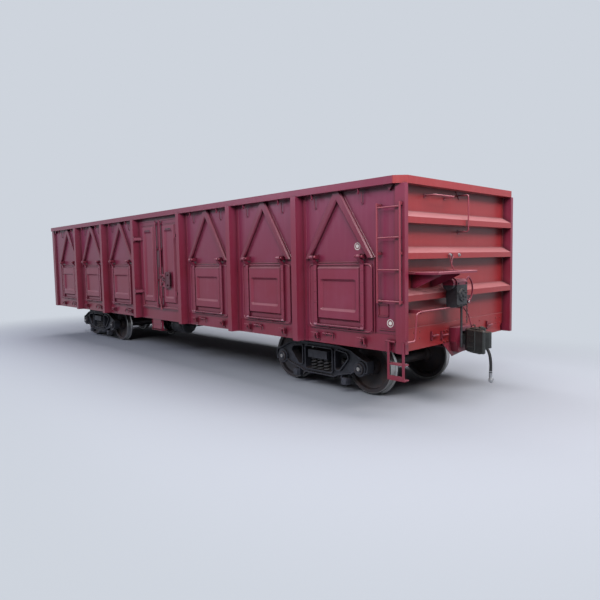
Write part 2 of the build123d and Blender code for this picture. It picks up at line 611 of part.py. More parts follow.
def corner_step():
    """Two treads hung under the corner below the ladder."""
    face = CORNER_HALF
    top = SILL_UNDER + 149.0
    solid = None
    for x in (STEP_FRONT, STEP_REAR - 35):
        hanger = block(x, x + 35, -face - STEP_BAR, -face, RAIL_Z + STEP_HEIGHTS[0] - 8, top)
        solid = hanger if solid is None else solid + hanger
    solid += block(STEP_FRONT, STEP_FRONT + 35, -face, -WALL_FACE, SILL_UNDER + 24.0, top)
    for height in STEP_HEIGHTS:
        z = RAIL_Z + height
        solid += block(STEP_FRONT, STEP_REAR, -face - STEP_BAR, -face + 90, z - 8, z + 8)
    solid += block(STEP_FRONT, STEP_REAR, -face - STEP_BAR, -face, RAIL_Z + STEP_HEIGHTS[0] - 8,
                   RAIL_Z + STEP_HEIGHTS[0] + 55)
    return solid


# --- couplers and brake pipe --------------------------------------------------------------
SHANK_HALF = 65.0
HEAD_BACK = PULLING_FACE - 290.0
HEAD_HALF_HEIGHT = 165.0
KNUCKLE_PIN_X = PULLING_FACE - 130.0
KNUCKLE_PIN_Y = 105.0
KNUCKLE_HALF_HEIGHT = 115.0
SHANK_BACK = END_INSIDE - SILL_WEB - 150.0


def coupler():
    """Coupler head and shank, with the guard arm on one side."""
    plan = [(HEAD_BACK, -SHANK_HALF - 10), (HEAD_BACK + 70, -150.0), (PULLING_FACE - 90, -185.0),
            (PULLING_FACE + 75, -235.0), (PULLING_FACE + 90, -190.0), (PULLING_FACE + 20, -95.0),
            (PULLING_FACE - 120, -40.0), (PULLING_FACE - 150, 40.0), (KNUCKLE_PIN_X - 45, 60.0),
            (KNUCKLE_PIN_X - 45, 165.0), (HEAD_BACK + 60, 150.0), (HEAD_BACK, SHANK_HALF + 10)]
    head = along_z(plan, COUPLER_Z - HEAD_HALF_HEIGHT, COUPLER_Z + HEAD_HALF_HEIGHT)
    head = chamfer(head.edges().group_by(Axis.Z)[0] + head.edges().group_by(Axis.Z)[-1], 14.0)
    head += along_y([(HEAD_BACK - 50, COUPLER_Z + SHANK_HALF), (HEAD_BACK + 60, COUPLER_Z + HEAD_HALF_HEIGHT - 16),
                     (HEAD_BACK + 60, COUPLER_Z - HEAD_HALF_HEIGHT + 16), (HEAD_BACK - 50, COUPLER_Z - SHANK_HALF)],
                    -SHANK_HALF + 15, SHANK_HALF - 15)
    shank = block(SHANK_BACK, HEAD_BACK, -SHANK_HALF, SHANK_HALF, COUPLER_Z - SHANK_HALF, COUPLER_Z + SHANK_HALF)
    ears = None
    thick = HEAD_HALF_HEIGHT - KNUCKLE_HALF_HEIGHT
    for low in (COUPLER_Z - HEAD_HALF_HEIGHT, COUPLER_Z + KNUCKLE_HALF_HEIGHT):
        ear = Pos(KNUCKLE_PIN_X, KNUCKLE_PIN_Y, low + thick / 2) * Cylinder(62.0, thick)
        ear += block(KNUCKLE_PIN_X - 60, KNUCKLE_PIN_X, KNUCKLE_PIN_Y - 62, KNUCKLE_PIN_Y + 60, low, low + thick)
        ears = ear if ears is None else ears + ear
    return head + shank + ears


def knuckle():
    """Hooked knuckle that turns on its pin between the ears of the coupler."""
    low, high = COUPLER_Z - KNUCKLE_HALF_HEIGHT, COUPLER_Z + KNUCKLE_HALF_HEIGHT
    hub = Pos(KNUCKLE_PIN_X, KNUCKLE_PIN_Y, COUPLER_Z) * Cylinder(44.0, high - low)
    plan = [(KNUCKLE_PIN_X + 5, KNUCKLE_PIN_Y + 44), (PULLING_FACE + 20, KNUCKLE_PIN_Y + 20),
            (PULLING_FACE + 48, 60.0), (PULLING_FACE + 40, 10.0), (PULLING_FACE, -18.0),
            (PULLING_FACE - 42, 0.0), (PULLING_FACE - 48, 40.0), (KNUCKLE_PIN_X + 20, 62.0)]
    return hub + along_z(plan, low, high)


def striker():
    """Casting on the end sill round the coupler shank, flared below."""
    back = END_FACE + END_PLATE
    front = HEAD_BACK - 60.0
    top = COUPLER_Z + 175.0
    outline = [(-230.0, top), (230.0, top), (230.0, COUPLER_Z - 30), (150.0, COUPLER_Z - 190),
               (-150.0, COUPLER_Z - 190), (-230.0, COUPLER_Z - 30)]
    body = along_x(outline, back, front)
    window = block(back - 10, front + 10, -SHANK_WINDOW, SHANK_WINDOW,
                   COUPLER_Z - SHANK_HALF, COUPLER_Z + SHANK_WINDOW)
    return body - window


PIPE_RADIUS = 17.0
PIPE_H = 728.0
PIPE_Y = 350.0
PIPE_RISE_X = (END_FACE - 351.0, END_FACE - 121.0)   # where the pipe rises over the end sill
COCK_X = END_FACE + 169.0
COCK_H = 795.0
HOSE_DIAMETER = 44.0


def train_pipe():
    """Brake pipe from angle cock to angle cock, crossing under the centre sill."""
    run_z, end_z = RAIL_Z + PIPE_H, RAIL_Z + COCK_H
    half = [(COCK_X, PIPE_Y, end_z), (PIPE_RISE_X[1], PIPE_Y, end_z), (PIPE_RISE_X[0], PIPE_Y, run_z), (700.0, PIPE_Y, run_z)]
    route = half + [(-x, -y, z) for x, y, z in reversed(half)]
    path = FilletPolyline(*route, radius=90.0)
    plane = Plane(origin=route[0], z_dir=(-1, 0, 0))
    return sweep(plane * Circle(PIPE_RADIUS), path=path)


def pipe_saddles():
    """Saddles that hold one half of the brake pipe under the bolster and the end sill."""
    under_bolster = block(BOGIE_X - 25, BOGIE_X + 25, PIPE_Y - 25, PIPE_Y + 25, RAIL_Z + PIPE_H, BOLSTER_UNDER)
    middle = END_FACE - SILL_FLANGE / 2
    under_sill = block(middle - 15, middle + 15, PIPE_Y - 22, PIPE_Y + 22, RAIL_Z + COCK_H, SILL_UNDER)
    return under_bolster + under_sill


def angle_cock():
    """Cock at the end of the brake pipe, turned down towards the hose."""
    z = RAIL_Z + COCK_H
    body = bar((COCK_X, PIPE_Y, z), (COCK_X + 70, PIPE_Y, z), 30.0)
    first, second = Vector(*HOSE_POINTS[0]), Vector(*HOSE_POINTS[1])
    outlet = bar(tuple(first - (second - first).normalized() * 60), HOSE_POINTS[0], 27.0)
    key = bar((COCK_X + 35, PIPE_Y, z), (COCK_X + 35, PIPE_Y, z + 34), 14.0)
    return body + outlet + key


# points of the hanging hose, from the cock down to its coupling head
HOSE_POINTS = ((END_FACE + 259.0, PIPE_Y, RAIL_Z + 752.0), (END_FACE + 310.0, PIPE_Y, RAIL_Z + 694.0),
               (END_FACE + 346.0, PIPE_Y, RAIL_Z + 612.0), (END_FACE + 362.0, PIPE_Y, RAIL_Z + 515.0),
               (END_FACE + 365.0, PIPE_Y, RAIL_Z + 415.0), (END_FACE + 361.0, PIPE_Y, RAIL_Z + 318.0))


def corner_radii(points):
    """Radius at each inner point: 0.45 of the shorter run over the tangent of half the turn."""
    radii = []
    for before, here, after in zip(points, points[1:], points[2:]):
        first = Vector(*here) - Vector(*before)
        second = Vector(*after) - Vector(*here)
        turn = math.radians(first.get_angle(second))
        radii.append(0.45 * min(first.length, second.length) / math.tan(turn / 2))
    return radii


def air_hose():
    """Rubber hose hanging from the angle cock."""
    radii = corner_radii(HOSE_POINTS)
    print("hose radii", [round(radius) for radius in radii])
    path = FilletPolyline(*HOSE_POINTS, radius=radii)
    start = Vector(*HOSE_POINTS[1]) - Vector(*HOSE_POINTS[0])
    tube = sweep(Plane(origin=HOSE_POINTS[0], z_dir=start) * Circle(HOSE_DIAMETER / 2), path=path)
    print("hose length", round(path.length), "volume ratio",
          round(tube.volume / (path.length * math.pi * HOSE_DIAMETER ** 2 / 4), 4))
    return tube


def hose_coupling():
    """Coupling head on the end of the hose."""
    last, before = Vector(*HOSE_POINTS[-1]), Vector(*HOSE_POINTS[-2])
    direction = (last - before).normalized()
    neck_end = last + direction * 70
    neck = bar(tuple(last), tuple(neck_end), 27.0)
    head = Pos(neck_end.X + 12, PIPE_Y, neck_end.Z - 20) * Rot(0, 90, 0) * Cylinder(42.0, 58.0)
    return neck + head


# --- hand brake end -----------------------------------------------------------------------
PLATFORM_Z = FLOOR_TOP + 818 / 2060 * BODY_HEIGHT
PLATFORM_NEAR = -CORNER_HALF + 220.0
PLATFORM_FAR = -310.0
PLATFORM_FRONT = END_FRONT + 349.0
PLATFORM_BRACKETS = (PLATFORM_NEAR + 120.0, PLATFORM_NEAR + 580.0)
GRATING_BARS = 18
GRATING_RIM = 30.0
GRATING_BAR = 10.0


def brake_platform():
    """Grated step for the brakeman on two brackets."""
    z = PLATFORM_Z
    solid = block(END_FRONT, PLATFORM_FRONT, PLATFORM_NEAR, PLATFORM_FAR, z - 30, z)
    pitch = (PLATFORM_FAR - PLATFORM_NEAR - 2 * GRATING_RIM + GRATING_BAR) / GRATING_BARS
    middle = (END_FRONT + PLATFORM_FRONT) / 2
    slots = None
    for i in range(GRATING_BARS):
        y = PLATFORM_NEAR + GRATING_RIM + i * pitch
        for x0, x1 in ((END_FRONT + GRATING_RIM, middle - 8), (middle + 8, PLATFORM_FRONT - GRATING_RIM)):
            slot = block(x0, x1, y, y + pitch - GRATING_BAR, z - 40, z + 10)
            slots = slot if slots is None else slots + slot
    solid -= slots
    low = LAST_RIB_TOP + 15.0
    for y in PLATFORM_BRACKETS:
        outline = [(END_FACE, z - 22), (END_FRONT + 20, z - 30), (PLATFORM_FRONT - 40, z - 30),
                   (PLATFORM_FRONT - 40, z - 50), (END_FACE + 60, low), (END_FACE, low)]
        solid += along_y(outline, y - 5, y + 5)
    solid += block(END_FACE, END_FRONT, PLATFORM_NEAR, PLATFORM_FAR, z - 30, z - 22)
    return solid


GEARBOX_Y = (-650.0, -255.0)
BRAKE_SHAFT_Y = -290.0
BRAKE_SHAFT_X = END_FRONT + 100.0


LEVER_Z = COUPLER_Z + 498.0
GUARD_Y = (-262.0, -30.0)       # strap round the chain, beside the gear case
GUARD_HALF_HEIGHT = 190.0
GUARD_BAR = 14.0


def chain_guard(middle_z):
    """Lens-shaped strap beside the gear case, with the pin that it ends on."""
    y0, y1 = GUARD_Y
    bulge = (y1 - y0) / 2
    middle = (y0 + y1) / 2
    x = BRAKE_SHAFT_X + 20.0
    plane = Plane(origin=(x, 0, middle_z), x_dir=(0, 1, 0), z_dir=(1, 0, 0))
    rings = []
    for inset in (0.0, GUARD_BAR):
        tip = GUARD_HALF_HEIGHT - 1.6 * inset
        near = ThreePointArc((middle, -tip), (middle - bulge + inset, 0), (middle, tip))
        far = ThreePointArc((middle, tip), (middle + bulge - inset, 0), (middle, -tip))
        rings.append(extrude(plane * make_face([near, far]), amount=20.0))
    strap = rings[0] - rings[1]
    stay = block(x, x + 20, GEARBOX_Y[1] - 20, y0 + GUARD_BAR, middle_z - 20, middle_z + 20)
    pin = bar((x - 10, middle, middle_z - GUARD_HALF_HEIGHT + 6), (x + 34, middle, middle_z - GUARD_HALF_HEIGHT + 6), 11.0)
    return strap + stay + pin


def hand_brake_gear():
    """Hand brake gear case with its drum, the upright shaft and the chain guard."""
    low, high = LEVER_Z + 12.0, PLATFORM_Z - 120.0
    case = block(END_FRONT, END_FRONT + 170, GEARBOX_Y[0] + 120, GEARBOX_Y[1], low, high)
    case = chamfer(case.edges().filter_by(Axis.Y).sort_by(Axis.X)[-2:], 34.0)
    cover = Plane(origin=(END_FRONT + 170, (GEARBOX_Y[0] + 120 + GEARBOX_Y[1]) / 2, (low + high) / 2 - 30),
                  x_dir=(0, 1, 0), z_dir=(1, 0, 0))
    case += extrude(cover * Circle(92.0), amount=22.0, taper=20)
    case += chain_guard((low + high) / 2 + 40)
    drum = bar((END_FRONT + 100, GEARBOX_Y[0], high - 60), (END_FRONT + 100, GEARBOX_Y[0] + 130, high - 60), 70.0)
    for y in (GEARBOX_Y[0], GEARBOX_Y[0] + 96.0):
        drum += bar((END_FRONT + 100, y, high - 60), (END_FRONT + 100, y + 14, high - 60), 88.0)
    shaft = bar((BRAKE_SHAFT_X, BRAKE_SHAFT_Y, SILL_UNDER - 40), (BRAKE_SHAFT_X, BRAKE_SHAFT_Y, low + 5), 16.0)
    return case + drum + shaft


def uncoupling_lever():
    """Rod along the end that lifts the coupler's lock, with its handle at the side."""
    x = END_FRONT + 60.0
    handle_z = COUPLER_Z + 125.0
    points = [(x, -CORNER_HALF - 35, handle_z), (x, -CORNER_HALF + 125, handle_z),
              (x, -CORNER_HALF + 170, LEVER_Z - 18), (x, -CORNER_HALF + 290, LEVER_Z), (x, -190.0, LEVER_Z),
              (x + 20, -60.0, LEVER_Z - 128), (x + 40, 0.0, COUPLER_Z + HEAD_HALF_HEIGHT + 12)]
    path = FilletPolyline(*points, radius=35.0)
    rod = sweep(Plane(origin=points[0], z_dir=(0, 1, 0)) * Circle(11.0), path=path)
    for y in (-CORNER_HALF + 270, -230.0):
        rod += block(END_FACE, x + 8, y - 6, y + 6, LEVER_Z - 28, LEVER_Z + 22)
    return rod


HANDRAIL_RADIUS = 10.0
HANDRAIL_STAND = 168.0


def end_handrails():
    """Handrail and upright grab iron on the hand-brake end."""
    x = END_FACE + HANDRAIL_STAND
    level = TOP_Z - 212.0
    rail = FilletPolyline((END_FACE, -850.0, level), (x, -850.0, level), (x, -360.0, level),
                          (END_FACE, -360.0, level), radius=30.0)
    first = sweep(Plane(origin=(END_FACE, -850.0, level), z_dir=(1, 0, 0)) * Circle(HANDRAIL_RADIUS), path=rail)
    upper = TOP_Z - 157.0
    lower = FLOOR_TOP + 1373 / 2060 * BODY_HEIGHT
    upright = FilletPolyline((END_FACE, 20.0, upper), (x, 20.0, upper), (x, 20.0, lower),
                             (END_FACE, 20.0, lower), radius=30.0)
    second = sweep(Plane(origin=(END_FACE, 20.0, upper), z_dir=(1, 0, 0)) * Circle(HANDRAIL_RADIUS), path=upright)
    second += along_x([(-60.0, CHORD_UNDER), (150.0, CHORD_UNDER), (34.0, upper - 60)], END_FACE, END_FACE + 10)
    return first, second


CYLINDER_Y = -720.0
CYLINDER_H = 640.0
CYLINDER_RADIUS = 178.0
RESERVOIR_RADIUS = 150.0
TANK_HANGER = 12.0


def brake_cylinder():
    """Brake cylinder and air reservoir, each on two hangers under the floor."""
    pieces = []
    for y, x0, x1, radius in ((CYLINDER_Y, -640.0, -80.0, CYLINDER_RADIUS),
                              (-CYLINDER_Y, -700.0, 500.0, RESERVOIR_RADIUS)):
        z = RAIL_Z + CYLINDER_H
        tank = bar((x0, y, z), (x1, y, z), radius)
        tank = fillet(tank.edges().filter_by(GeomType.CIRCLE), 35.0)
        for x in (x0 + 110, x1 - 110):
            if abs(x) < BEARER_WIDTH:
                x = -BEARER_WIDTH
            tank += block(x - TANK_HANGER / 2, x + TANK_HANGER / 2, y - 90, y + 90, z, FLOOR_UNDER)
        pieces.append(tank)
    rod = bar((-80.0, CYLINDER_Y, RAIL_Z + CYLINDER_H), (120.0, CYLINDER_Y, RAIL_Z + CYLINDER_H), 22.0)
    pieces[0] += rod
    return pieces


# --- bogies -------------------------------------------------------------------------------
HALF_BASE = WHEELBASE / 2
JOURNAL_Y = 978.0
FRAME_WIDTH = 150.0
FRAME_IN = JOURNAL_Y - FRAME_WIDTH / 2
FRAME_OUT = JOURNAL_Y + FRAME_WIDTH / 2
JOURNAL_RADIUS = 65.0
BOX_RADIUS = 118.0
RUNNING_FIT = 0.08
WINDOW_HALF = 300.0
WINDOW_LOW = RAIL_Z + 285.0
WINDOW_HIGH = RAIL_Z + 655.0
FRAME_TOP = RAIL_Z + 730.0
FRAME_UNDER = RAIL_Z + 216.0
FRAME_RIM = 20.0            # flange round the web of the casting
FRAME_POCKET = 38.0         # depth of the web below that flange


def wheelset():
    """Axle with its two wheels and end caps, on the bogie's middle, axle along Y."""
    back, face = WHEEL_BACK, WHEEL_BACK + RIM_WIDTH
    rim_inside = WHEEL_RADIUS - 65.0
    flange_tip = WHEEL_RADIUS + FLANGE_HEIGHT
    half = [(0.0, 87.0), (back - 60, 87.0), (back - 40, 132.0), (back + 10, 140.0),
            (back + 62, rim_inside - 15), (back, rim_inside), (back, flange_tip - 10),
            (back + 14, flange_tip), (back + 24, flange_tip - 6), (back + 34, WHEEL_RADIUS + 2),
            (back + 70, WHEEL_RADIUS), (face - 6, WHEEL_RADIUS - 3), (face, WHEEL_RADIUS - 9),
            (face, rim_inside), (back + 88, rim_inside - 15), (back + 45, 145.0),
            (face + 16, 128.0), (face + 16, 97.0), (face + 60, 90.0),
            (FRAME_IN - 6, 88.0), (FRAME_IN - 6, JOURNAL_RADIUS), (FRAME_OUT + 6, JOURNAL_RADIUS),
            (FRAME_OUT + 6, 88.0), (FRAME_OUT + 26, 84.0), (FRAME_OUT + 30, 40.0), (FRAME_OUT + 30, 0.0)]
    outline = [(-y, r) for y, r in reversed(half[1:])] + half
    face_yr = make_face(Plane.YZ * Polyline(*outline, close=True))
    return revolve(face_yr, axis=Axis.Y)


def side_frame():
    """Cast side frame of the near side of a bogie, at the bogie's own middle."""
    pedestal = HALF_BASE
    half = [(0.0, FRAME_TOP), (430.0, FRAME_TOP), (690.0, FRAME_TOP - 45), (pedestal + 60, AXLE_Z + 150),
            (pedestal + 150, AXLE_Z + 120), (pedestal + 165, AXLE_Z + 40), (pedestal + 150, AXLE_Z - 60),
            (pedestal + 100, AXLE_Z - 60), (pedestal - 110, AXLE_Z - 60), (pedestal - 160, AXLE_Z - 95),
            (430.0, FRAME_UNDER + 40), (330.0, FRAME_UNDER), (0.0, FRAME_UNDER)]
    outline = half + [(-x, z) for x, z in reversed(half[1:-1])]
    plane = Plane(origin=(0, -FRAME_IN, 0), x_dir=(1, 0, 0), z_dir=(0, -1, 0))
    section = make_face(Polyline(*outline, close=True))
    section -= Pos(0, (WINDOW_LOW + WINDOW_HIGH) / 2) * RectangleRounded(2 * WINDOW_HALF, WINDOW_HIGH - WINDOW_LOW, 24.0)
    for side in (-1, 1):
        hole = [(side * 380.0, FRAME_TOP - 75), (side * 610.0, FRAME_TOP - 110),
                (side * 640.0, FRAME_TOP - 180), (side * 460.0, FRAME_UNDER + 130), (side * 380.0, FRAME_UNDER + 130)]
        opening = make_face(Polyline(*hole, close=True))
        section -= fillet(opening.vertices(), 28.0)
    frame = extrude(plane * section, amount=FRAME_WIDTH)
    pocket = offset(section, amount=-FRAME_RIM, kind=Kind.INTERSECTION)
    frame -= extrude(plane.offset(FRAME_WIDTH - FRAME_POCKET) * pocket, amount=FRAME_POCKET + 5)
    for side in (-1, 1):
        x = side * pedestal
        frame -= block(x - 92, x + 92, -FRAME_OUT - 5, -FRAME_IN + 5, AXLE_Z - 70, AXLE_Z)
        frame += bar((x, -FRAME_OUT, AXLE_Z), (x, -FRAME_IN, AXLE_Z), BOX_RADIUS)
        frame -= bar((x, -FRAME_OUT - 5, AXLE_Z), (x, -FRAME_IN + 5, AXLE_Z), JOURNAL_RADIUS + RUNNING_FIT)
    return frame


BOGIE_BOLSTER_TOP = RAIL_Z + 640.0
BOGIE_BOLSTER_HALF = 215.0
SPRING_TOP = RAIL_Z + 480.0
SPRING_RADIUS = 66.0
SPRING_PITCH = 142.0
SPRING_TURNS = 5
BOWL_TOP = RAIL_Z + 690.0


def bogie_bolster():
    """Bolster through both side frames, with the centre bowl and the lower side bearers."""
    reach = FRAME_OUT + 20
    half = [(0.0, RAIL_Z + 440.0), (620.0, RAIL_Z + 440.0), (860.0, SPRING_TOP), (reach, SPRING_TOP),
            (reach, BOGIE_BOLSTER_TOP - 30), (800.0, BOGIE_BOLSTER_TOP), (0.0, BOGIE_BOLSTER_TOP)]
    outline = half + [(-y, z) for y, z in reversed(half[1:-1])]
    beam = along_x(outline, -BOGIE_BOLSTER_HALF, BOGIE_BOLSTER_HALF)
    bowl_height = BOWL_TOP - BOGIE_BOLSTER_TOP
    bowl = Pos(0, 0, BOGIE_BOLSTER_TOP + bowl_height / 2) * Cylinder(CENTRE_PLATE_RADIUS + 28, bowl_height)
    floor_height = CENTRE_PLATE_UNDER - SEAT_GAP - BOGIE_BOLSTER_TOP
    bowl -= Pos(0, 0, BOGIE_BOLSTER_TOP + floor_height + 50) * Cylinder(CENTRE_PLATE_RADIUS + 5, 100)
    beam += bowl
    for side in (-1, 1):
        beam += block(-70, 70, side * (SIDE_BEARER_Y - 70), side * (SIDE_BEARER_Y + 70),
                      BOGIE_BOLSTER_TOP - 10, SIDE_BEARER_UNDER - 6.0)
    return beam


def springs():
    """Coil springs between the side frames and the bolster."""
    height = SPRING_TOP - WINDOW_LOW
    turn = height / SPRING_TURNS
    core = SPRING_RADIUS - turn * 0.45
    profile = Line((0, 0), (core, 0))
    for i in range(SPRING_TURNS):
        profile += ThreePointArc((core, i * turn), (SPRING_RADIUS, (i + 0.5) * turn), (core, (i + 1) * turn))
    profile += Polyline((core, height), (0, height), (0, 0))
    coil = revolve(Plane.XZ * make_face(profile), axis=Axis.Z)
    return [Pos(step * SPRING_PITCH, side * JOURNAL_Y, WINDOW_LOW) * coil
            for side in (-1, 1) for step in (-1, 0, 1)]


SHOE_GAP = 8.0
SHOE_THICK = 45.0
SHOE_HALF_WIDTH = 38.0
BEAM_H = 345.0


def brake_beam():
    """Brake beam with its two shoes, on the inner side of the right axle of a bogie."""
    inner = WHEEL_RADIUS + SHOE_GAP
    outer = inner + SHOE_THICK
    beam_x = HALF_BASE - outer - 38.0
    beam_z = RAIL_Z + BEAM_H
    tread_y = WHEEL_BACK + 80.0
    solid = block(beam_x - 38, beam_x + 38, -820.0, 820.0, beam_z - 38, beam_z + 38)
    centre = Vector(HALF_BASE, 0, AXLE_Z)
    for side in (-1, 1):
        y = side * tread_y
        ring = bar((centre.X, y - SHOE_HALF_WIDTH, centre.Z), (centre.X, y + SHOE_HALF_WIDTH, centre.Z), outer)
        ring -= bar((centre.X, y - 60, centre.Z), (centre.X, y + 60, centre.Z), inner)
        keep = block(beam_x + 10, centre.X - 300, y - 60, y + 60, beam_z - 130, beam_z + 190)
        solid += ring & keep
        solid += block(beam_x, beam_x + 62, y - 30, y + 30, beam_z - 60, beam_z + 60)
        solid += block(beam_x - 30, beam_x + 12, side * 815.0, side * FRAME_IN, beam_z - 25, beam_z + 25)
    return solid


# --- build --------------------------------------------------------------------------------
def build():
    """Write every node."""
    save("floor_plate", floor_plate())
    save("centre_sill", centre_sill())
    sill = side_sill()
    save("side_sills", sill, other_side(sill))
    for name, piece in (("end_sills", end_sill()), ("body_bolsters", body_bolster()),
                        ("end_sheets", end_sheet()), ("end_top_chords", end_chord()),
                        ("strikers", striker()), ("couplers", coupler()), ("coupler_knuckles", knuckle()),
                        ("hose_couplings", hose_coupling()), ("ladders", ladder()),
                        ("corner_steps", corner_step()), ("uncoupling_levers", uncoupling_lever())):
        save(name, piece, turned(piece))
    save("cross_bearers", *cross_bearers())
    save("upper_side_sheets", *four_corners(upper_side_sheet()))
    lower = [piece for sheet in lower_side_sheets() for piece in four_corners(sheet)]
    header = door_header()
    save("lower_side_sheets", *lower, header, other_side(header))
    near = [side_post(x) for x in POSTS[1:]] + [door_post()]
    save("side_posts", *[piece for post in near for piece in four_corners(post)])
    save("side_braces", *[piece for _, x in BAYS for piece in four_corners(side_brace(x))])
    lugs = [lug for _, x in BAYS for lug in lower_hinge_lugs(x)]
    save("door_hinge_lugs", *[piece for lug in lugs for piece in four_corners(lug)])
    chord = side_chord()
    save("side_top_chords", chord, other_side(chord))
    latches = [latch for _, x in BAYS for latch in door_latches(x)]
    save("door_latches", *[piece for latch in latches for piece in four_corners(latch)])
    hooks = [hook for _, x in BAYS for hook in chord_hooks(x)]
    save("chord_hooks", *[piece for hook in hooks for piece in four_corners(hook)])
    ribs = [end_rib(*row) for row in END_RIBS]
    save("end_ribs", *[piece for rib in ribs for piece in (rib, turned(rib))])
    save("corner_posts", *four_corners(corner_post()))
    save("brake_platform", brake_platform())
    save("hand_brake_gear", hand_brake_gear())
    save("end_handrails", *end_handrails())
    save("brake_cylinder_and_reservoir", *brake_cylinder())
    fittings = angle_cock() + pipe_saddles()
    save("train_pipe", train_pipe() + fittings + turned(fittings))
    hose = air_hose()
    save("air_hose_front", hose)
    save("air_hose_rear", turned(hose))

    for bay, x in BAYS:
        door = lower_door(x)
        save(f"lower_door_right_front_{bay}", door)
        save(f"lower_door_left_front_{bay}", other_side(door))
        save(f"lower_door_left_rear_{bay}", turned(door))
        save(f"lower_door_right_rear_{bay}", other_side(turned(door)))
    plain, locking = centre_leaf(False), centre_leaf(True)
    save("centre_door_right_front", locking)
    save("centre_door_left_front", other_side(plain))
    save("centre_door_left_rear", turned(locking))
    save("centre_door_right_rear", other_side(turned(plain)))

    axle, frame, beam = wheelset(), side_frame(), brake_beam()
    bolster, coils = bogie_bolster(), springs()
    for end, x in (("front", BOGIE_X), ("rear", -BOGIE_X)):
        place = Pos(x, 0, 0)
        save(f"side_frames_{end}", place * frame, place * other_side(frame))
        save(f"bogie_bolster_{end}", place * bolster)
        save(f"springs_{end}", *[place * coil for coil in coils])
        save(f"brake_beams_{end}", place * beam, place * turned(beam))
        for which, offset in (("outer", HALF_BASE), ("inner", -HALF_BASE)):
            shift = offset if end == "front" else -offset
            save(f"wheelset_{end}_{which}", Pos(x + shift, 0, AXLE_Z) * axle)


build()
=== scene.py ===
"""Looks of an open bogie freight wagon with side doors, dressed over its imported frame.

Lengths are in metres in the frame's own axes: +X runs along the wagon to the hand-brake end, +Y to
the left and +Z up from the tips of the wheel flanges. Fittings that repeat are built once, for the
right front quarter or the front end, and mirrored or turned to their other places.
"""
import functools
import logging
import math
import random
from dataclasses import dataclass, field
from enum import Enum
from typing import Iterable, Sequence

import bmesh
import bpy
from mathutils import Matrix, Vector


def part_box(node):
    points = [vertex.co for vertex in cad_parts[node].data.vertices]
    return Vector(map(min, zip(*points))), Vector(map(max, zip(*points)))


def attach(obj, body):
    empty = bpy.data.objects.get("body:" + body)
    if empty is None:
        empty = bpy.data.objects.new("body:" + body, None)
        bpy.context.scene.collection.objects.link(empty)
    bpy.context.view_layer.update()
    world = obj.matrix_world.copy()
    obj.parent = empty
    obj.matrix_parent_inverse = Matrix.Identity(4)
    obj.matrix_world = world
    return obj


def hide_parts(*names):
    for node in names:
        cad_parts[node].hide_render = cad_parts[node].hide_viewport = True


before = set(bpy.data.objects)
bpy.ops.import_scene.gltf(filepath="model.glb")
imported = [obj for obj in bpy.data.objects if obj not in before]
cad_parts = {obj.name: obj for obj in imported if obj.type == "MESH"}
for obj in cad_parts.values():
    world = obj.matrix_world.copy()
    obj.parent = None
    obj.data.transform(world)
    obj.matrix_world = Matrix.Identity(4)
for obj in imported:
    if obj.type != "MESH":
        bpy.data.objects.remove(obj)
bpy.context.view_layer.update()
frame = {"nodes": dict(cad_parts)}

log = logging.getLogger("wagon")

Point = tuple[float, float, float]
Flat = tuple[float, float]
Triple = tuple[float, float, float]
Inputs = dict[str | int, object]

# --- driving dimensions, from the frame -------------------------------------------------------
# top of the rails above the tips of the wheel flanges
RAIL_Z = 0.027
CHORD_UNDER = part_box("side_top_chords")[0].z
CHORD_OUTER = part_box("side_top_chords")[1].y
TOP_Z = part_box("side_top_chords")[1].z
SILL_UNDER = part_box("side_sills")[0].z
WALL_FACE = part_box("side_sills")[1].y
FLOOR_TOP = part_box("floor_plate")[1].z
END_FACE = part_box("end_sheets")[1].x
END_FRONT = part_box("end_ribs")[1].x
DOOR_OUTSIDE = WALL_FACE + 0.013
COUPLER_LOW, COUPLER_HIGH = (corner.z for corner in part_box("couplers"))
COUPLER_Z = (COUPLER_LOW + COUPLER_HIGH) / 2
PLATFORM_LOW, PLATFORM_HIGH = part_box("brake_platform")
AXLE_Z = (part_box("wheelset_front_outer")[0].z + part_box("wheelset_front_outer")[1].z) / 2
AXLE_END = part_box("wheelset_front_outer")[1].y
FRAME_LOW, FRAME_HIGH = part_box("side_frames_front")
BOGIE_X = (FRAME_LOW.x + FRAME_HIGH.x) / 2
FRAME_OUTSIDE = FRAME_HIGH.y

# middles of the side posts and of the lower doors, along the wagon
POSTS = (0.990, 2.690, 4.400)
BAYS = {"a": 1.840, "b": 3.545, "c": 5.2085}
# the doors' straps: distance from the door's middle, how far out of its plate, half of the width
STRAP_OFFSET = 0.455
STRAP_OUT = 0.034
STRAP_HALF = 0.030
# distance across and height of the lower doors' hinge pins
LOWER_PIN = (1.560, RAIL_Z + 2.120)
CENTRE_HINGE_HEIGHTS = (RAIL_Z + 1.440, RAIL_Z + 2.610)

SIDES = (-1, 1)
OUTWARD = (0, -1, 0)
FORWARD = (1, 0, 0)
WELD = 0.005


class Quarter(Enum):
    """A quarter of the wagon, with the signs that carry the right front quarter to it."""

    RIGHT_FRONT = (1, 1)
    LEFT_FRONT = (1, -1)
    RIGHT_REAR = (-1, 1)
    LEFT_REAR = (-1, -1)

    @property
    def matrix(self) -> Matrix:
        """Matrix that carries the right front quarter to this one."""
        return Matrix.Diagonal((self.value[0], self.value[1], 1.0, 1.0))

    @property
    def label(self) -> str:
        """Name of the quarter as the frame spells it."""
        return self.name.lower()


class Axis(Enum):
    """Direction that a prism or a turned form runs in."""

    X = 0
    Y = 1
    Z = 2


def on_wall(x: float, z: float, out: float = 0.0) -> Point:
    """Point that stands out from the right side sheet."""
    return x, -WALL_FACE - out, z


def on_door(x: float, z: float, out: float = 0.0) -> Point:
    """Point that stands out from the right doors' plates."""
    return x, -DOOR_OUTSIDE - out, z


def on_end(y: float, z: float, out: float = 0.0) -> Point:
    """Point that stands out from the front end sheet."""
    return END_FACE + out, y, z


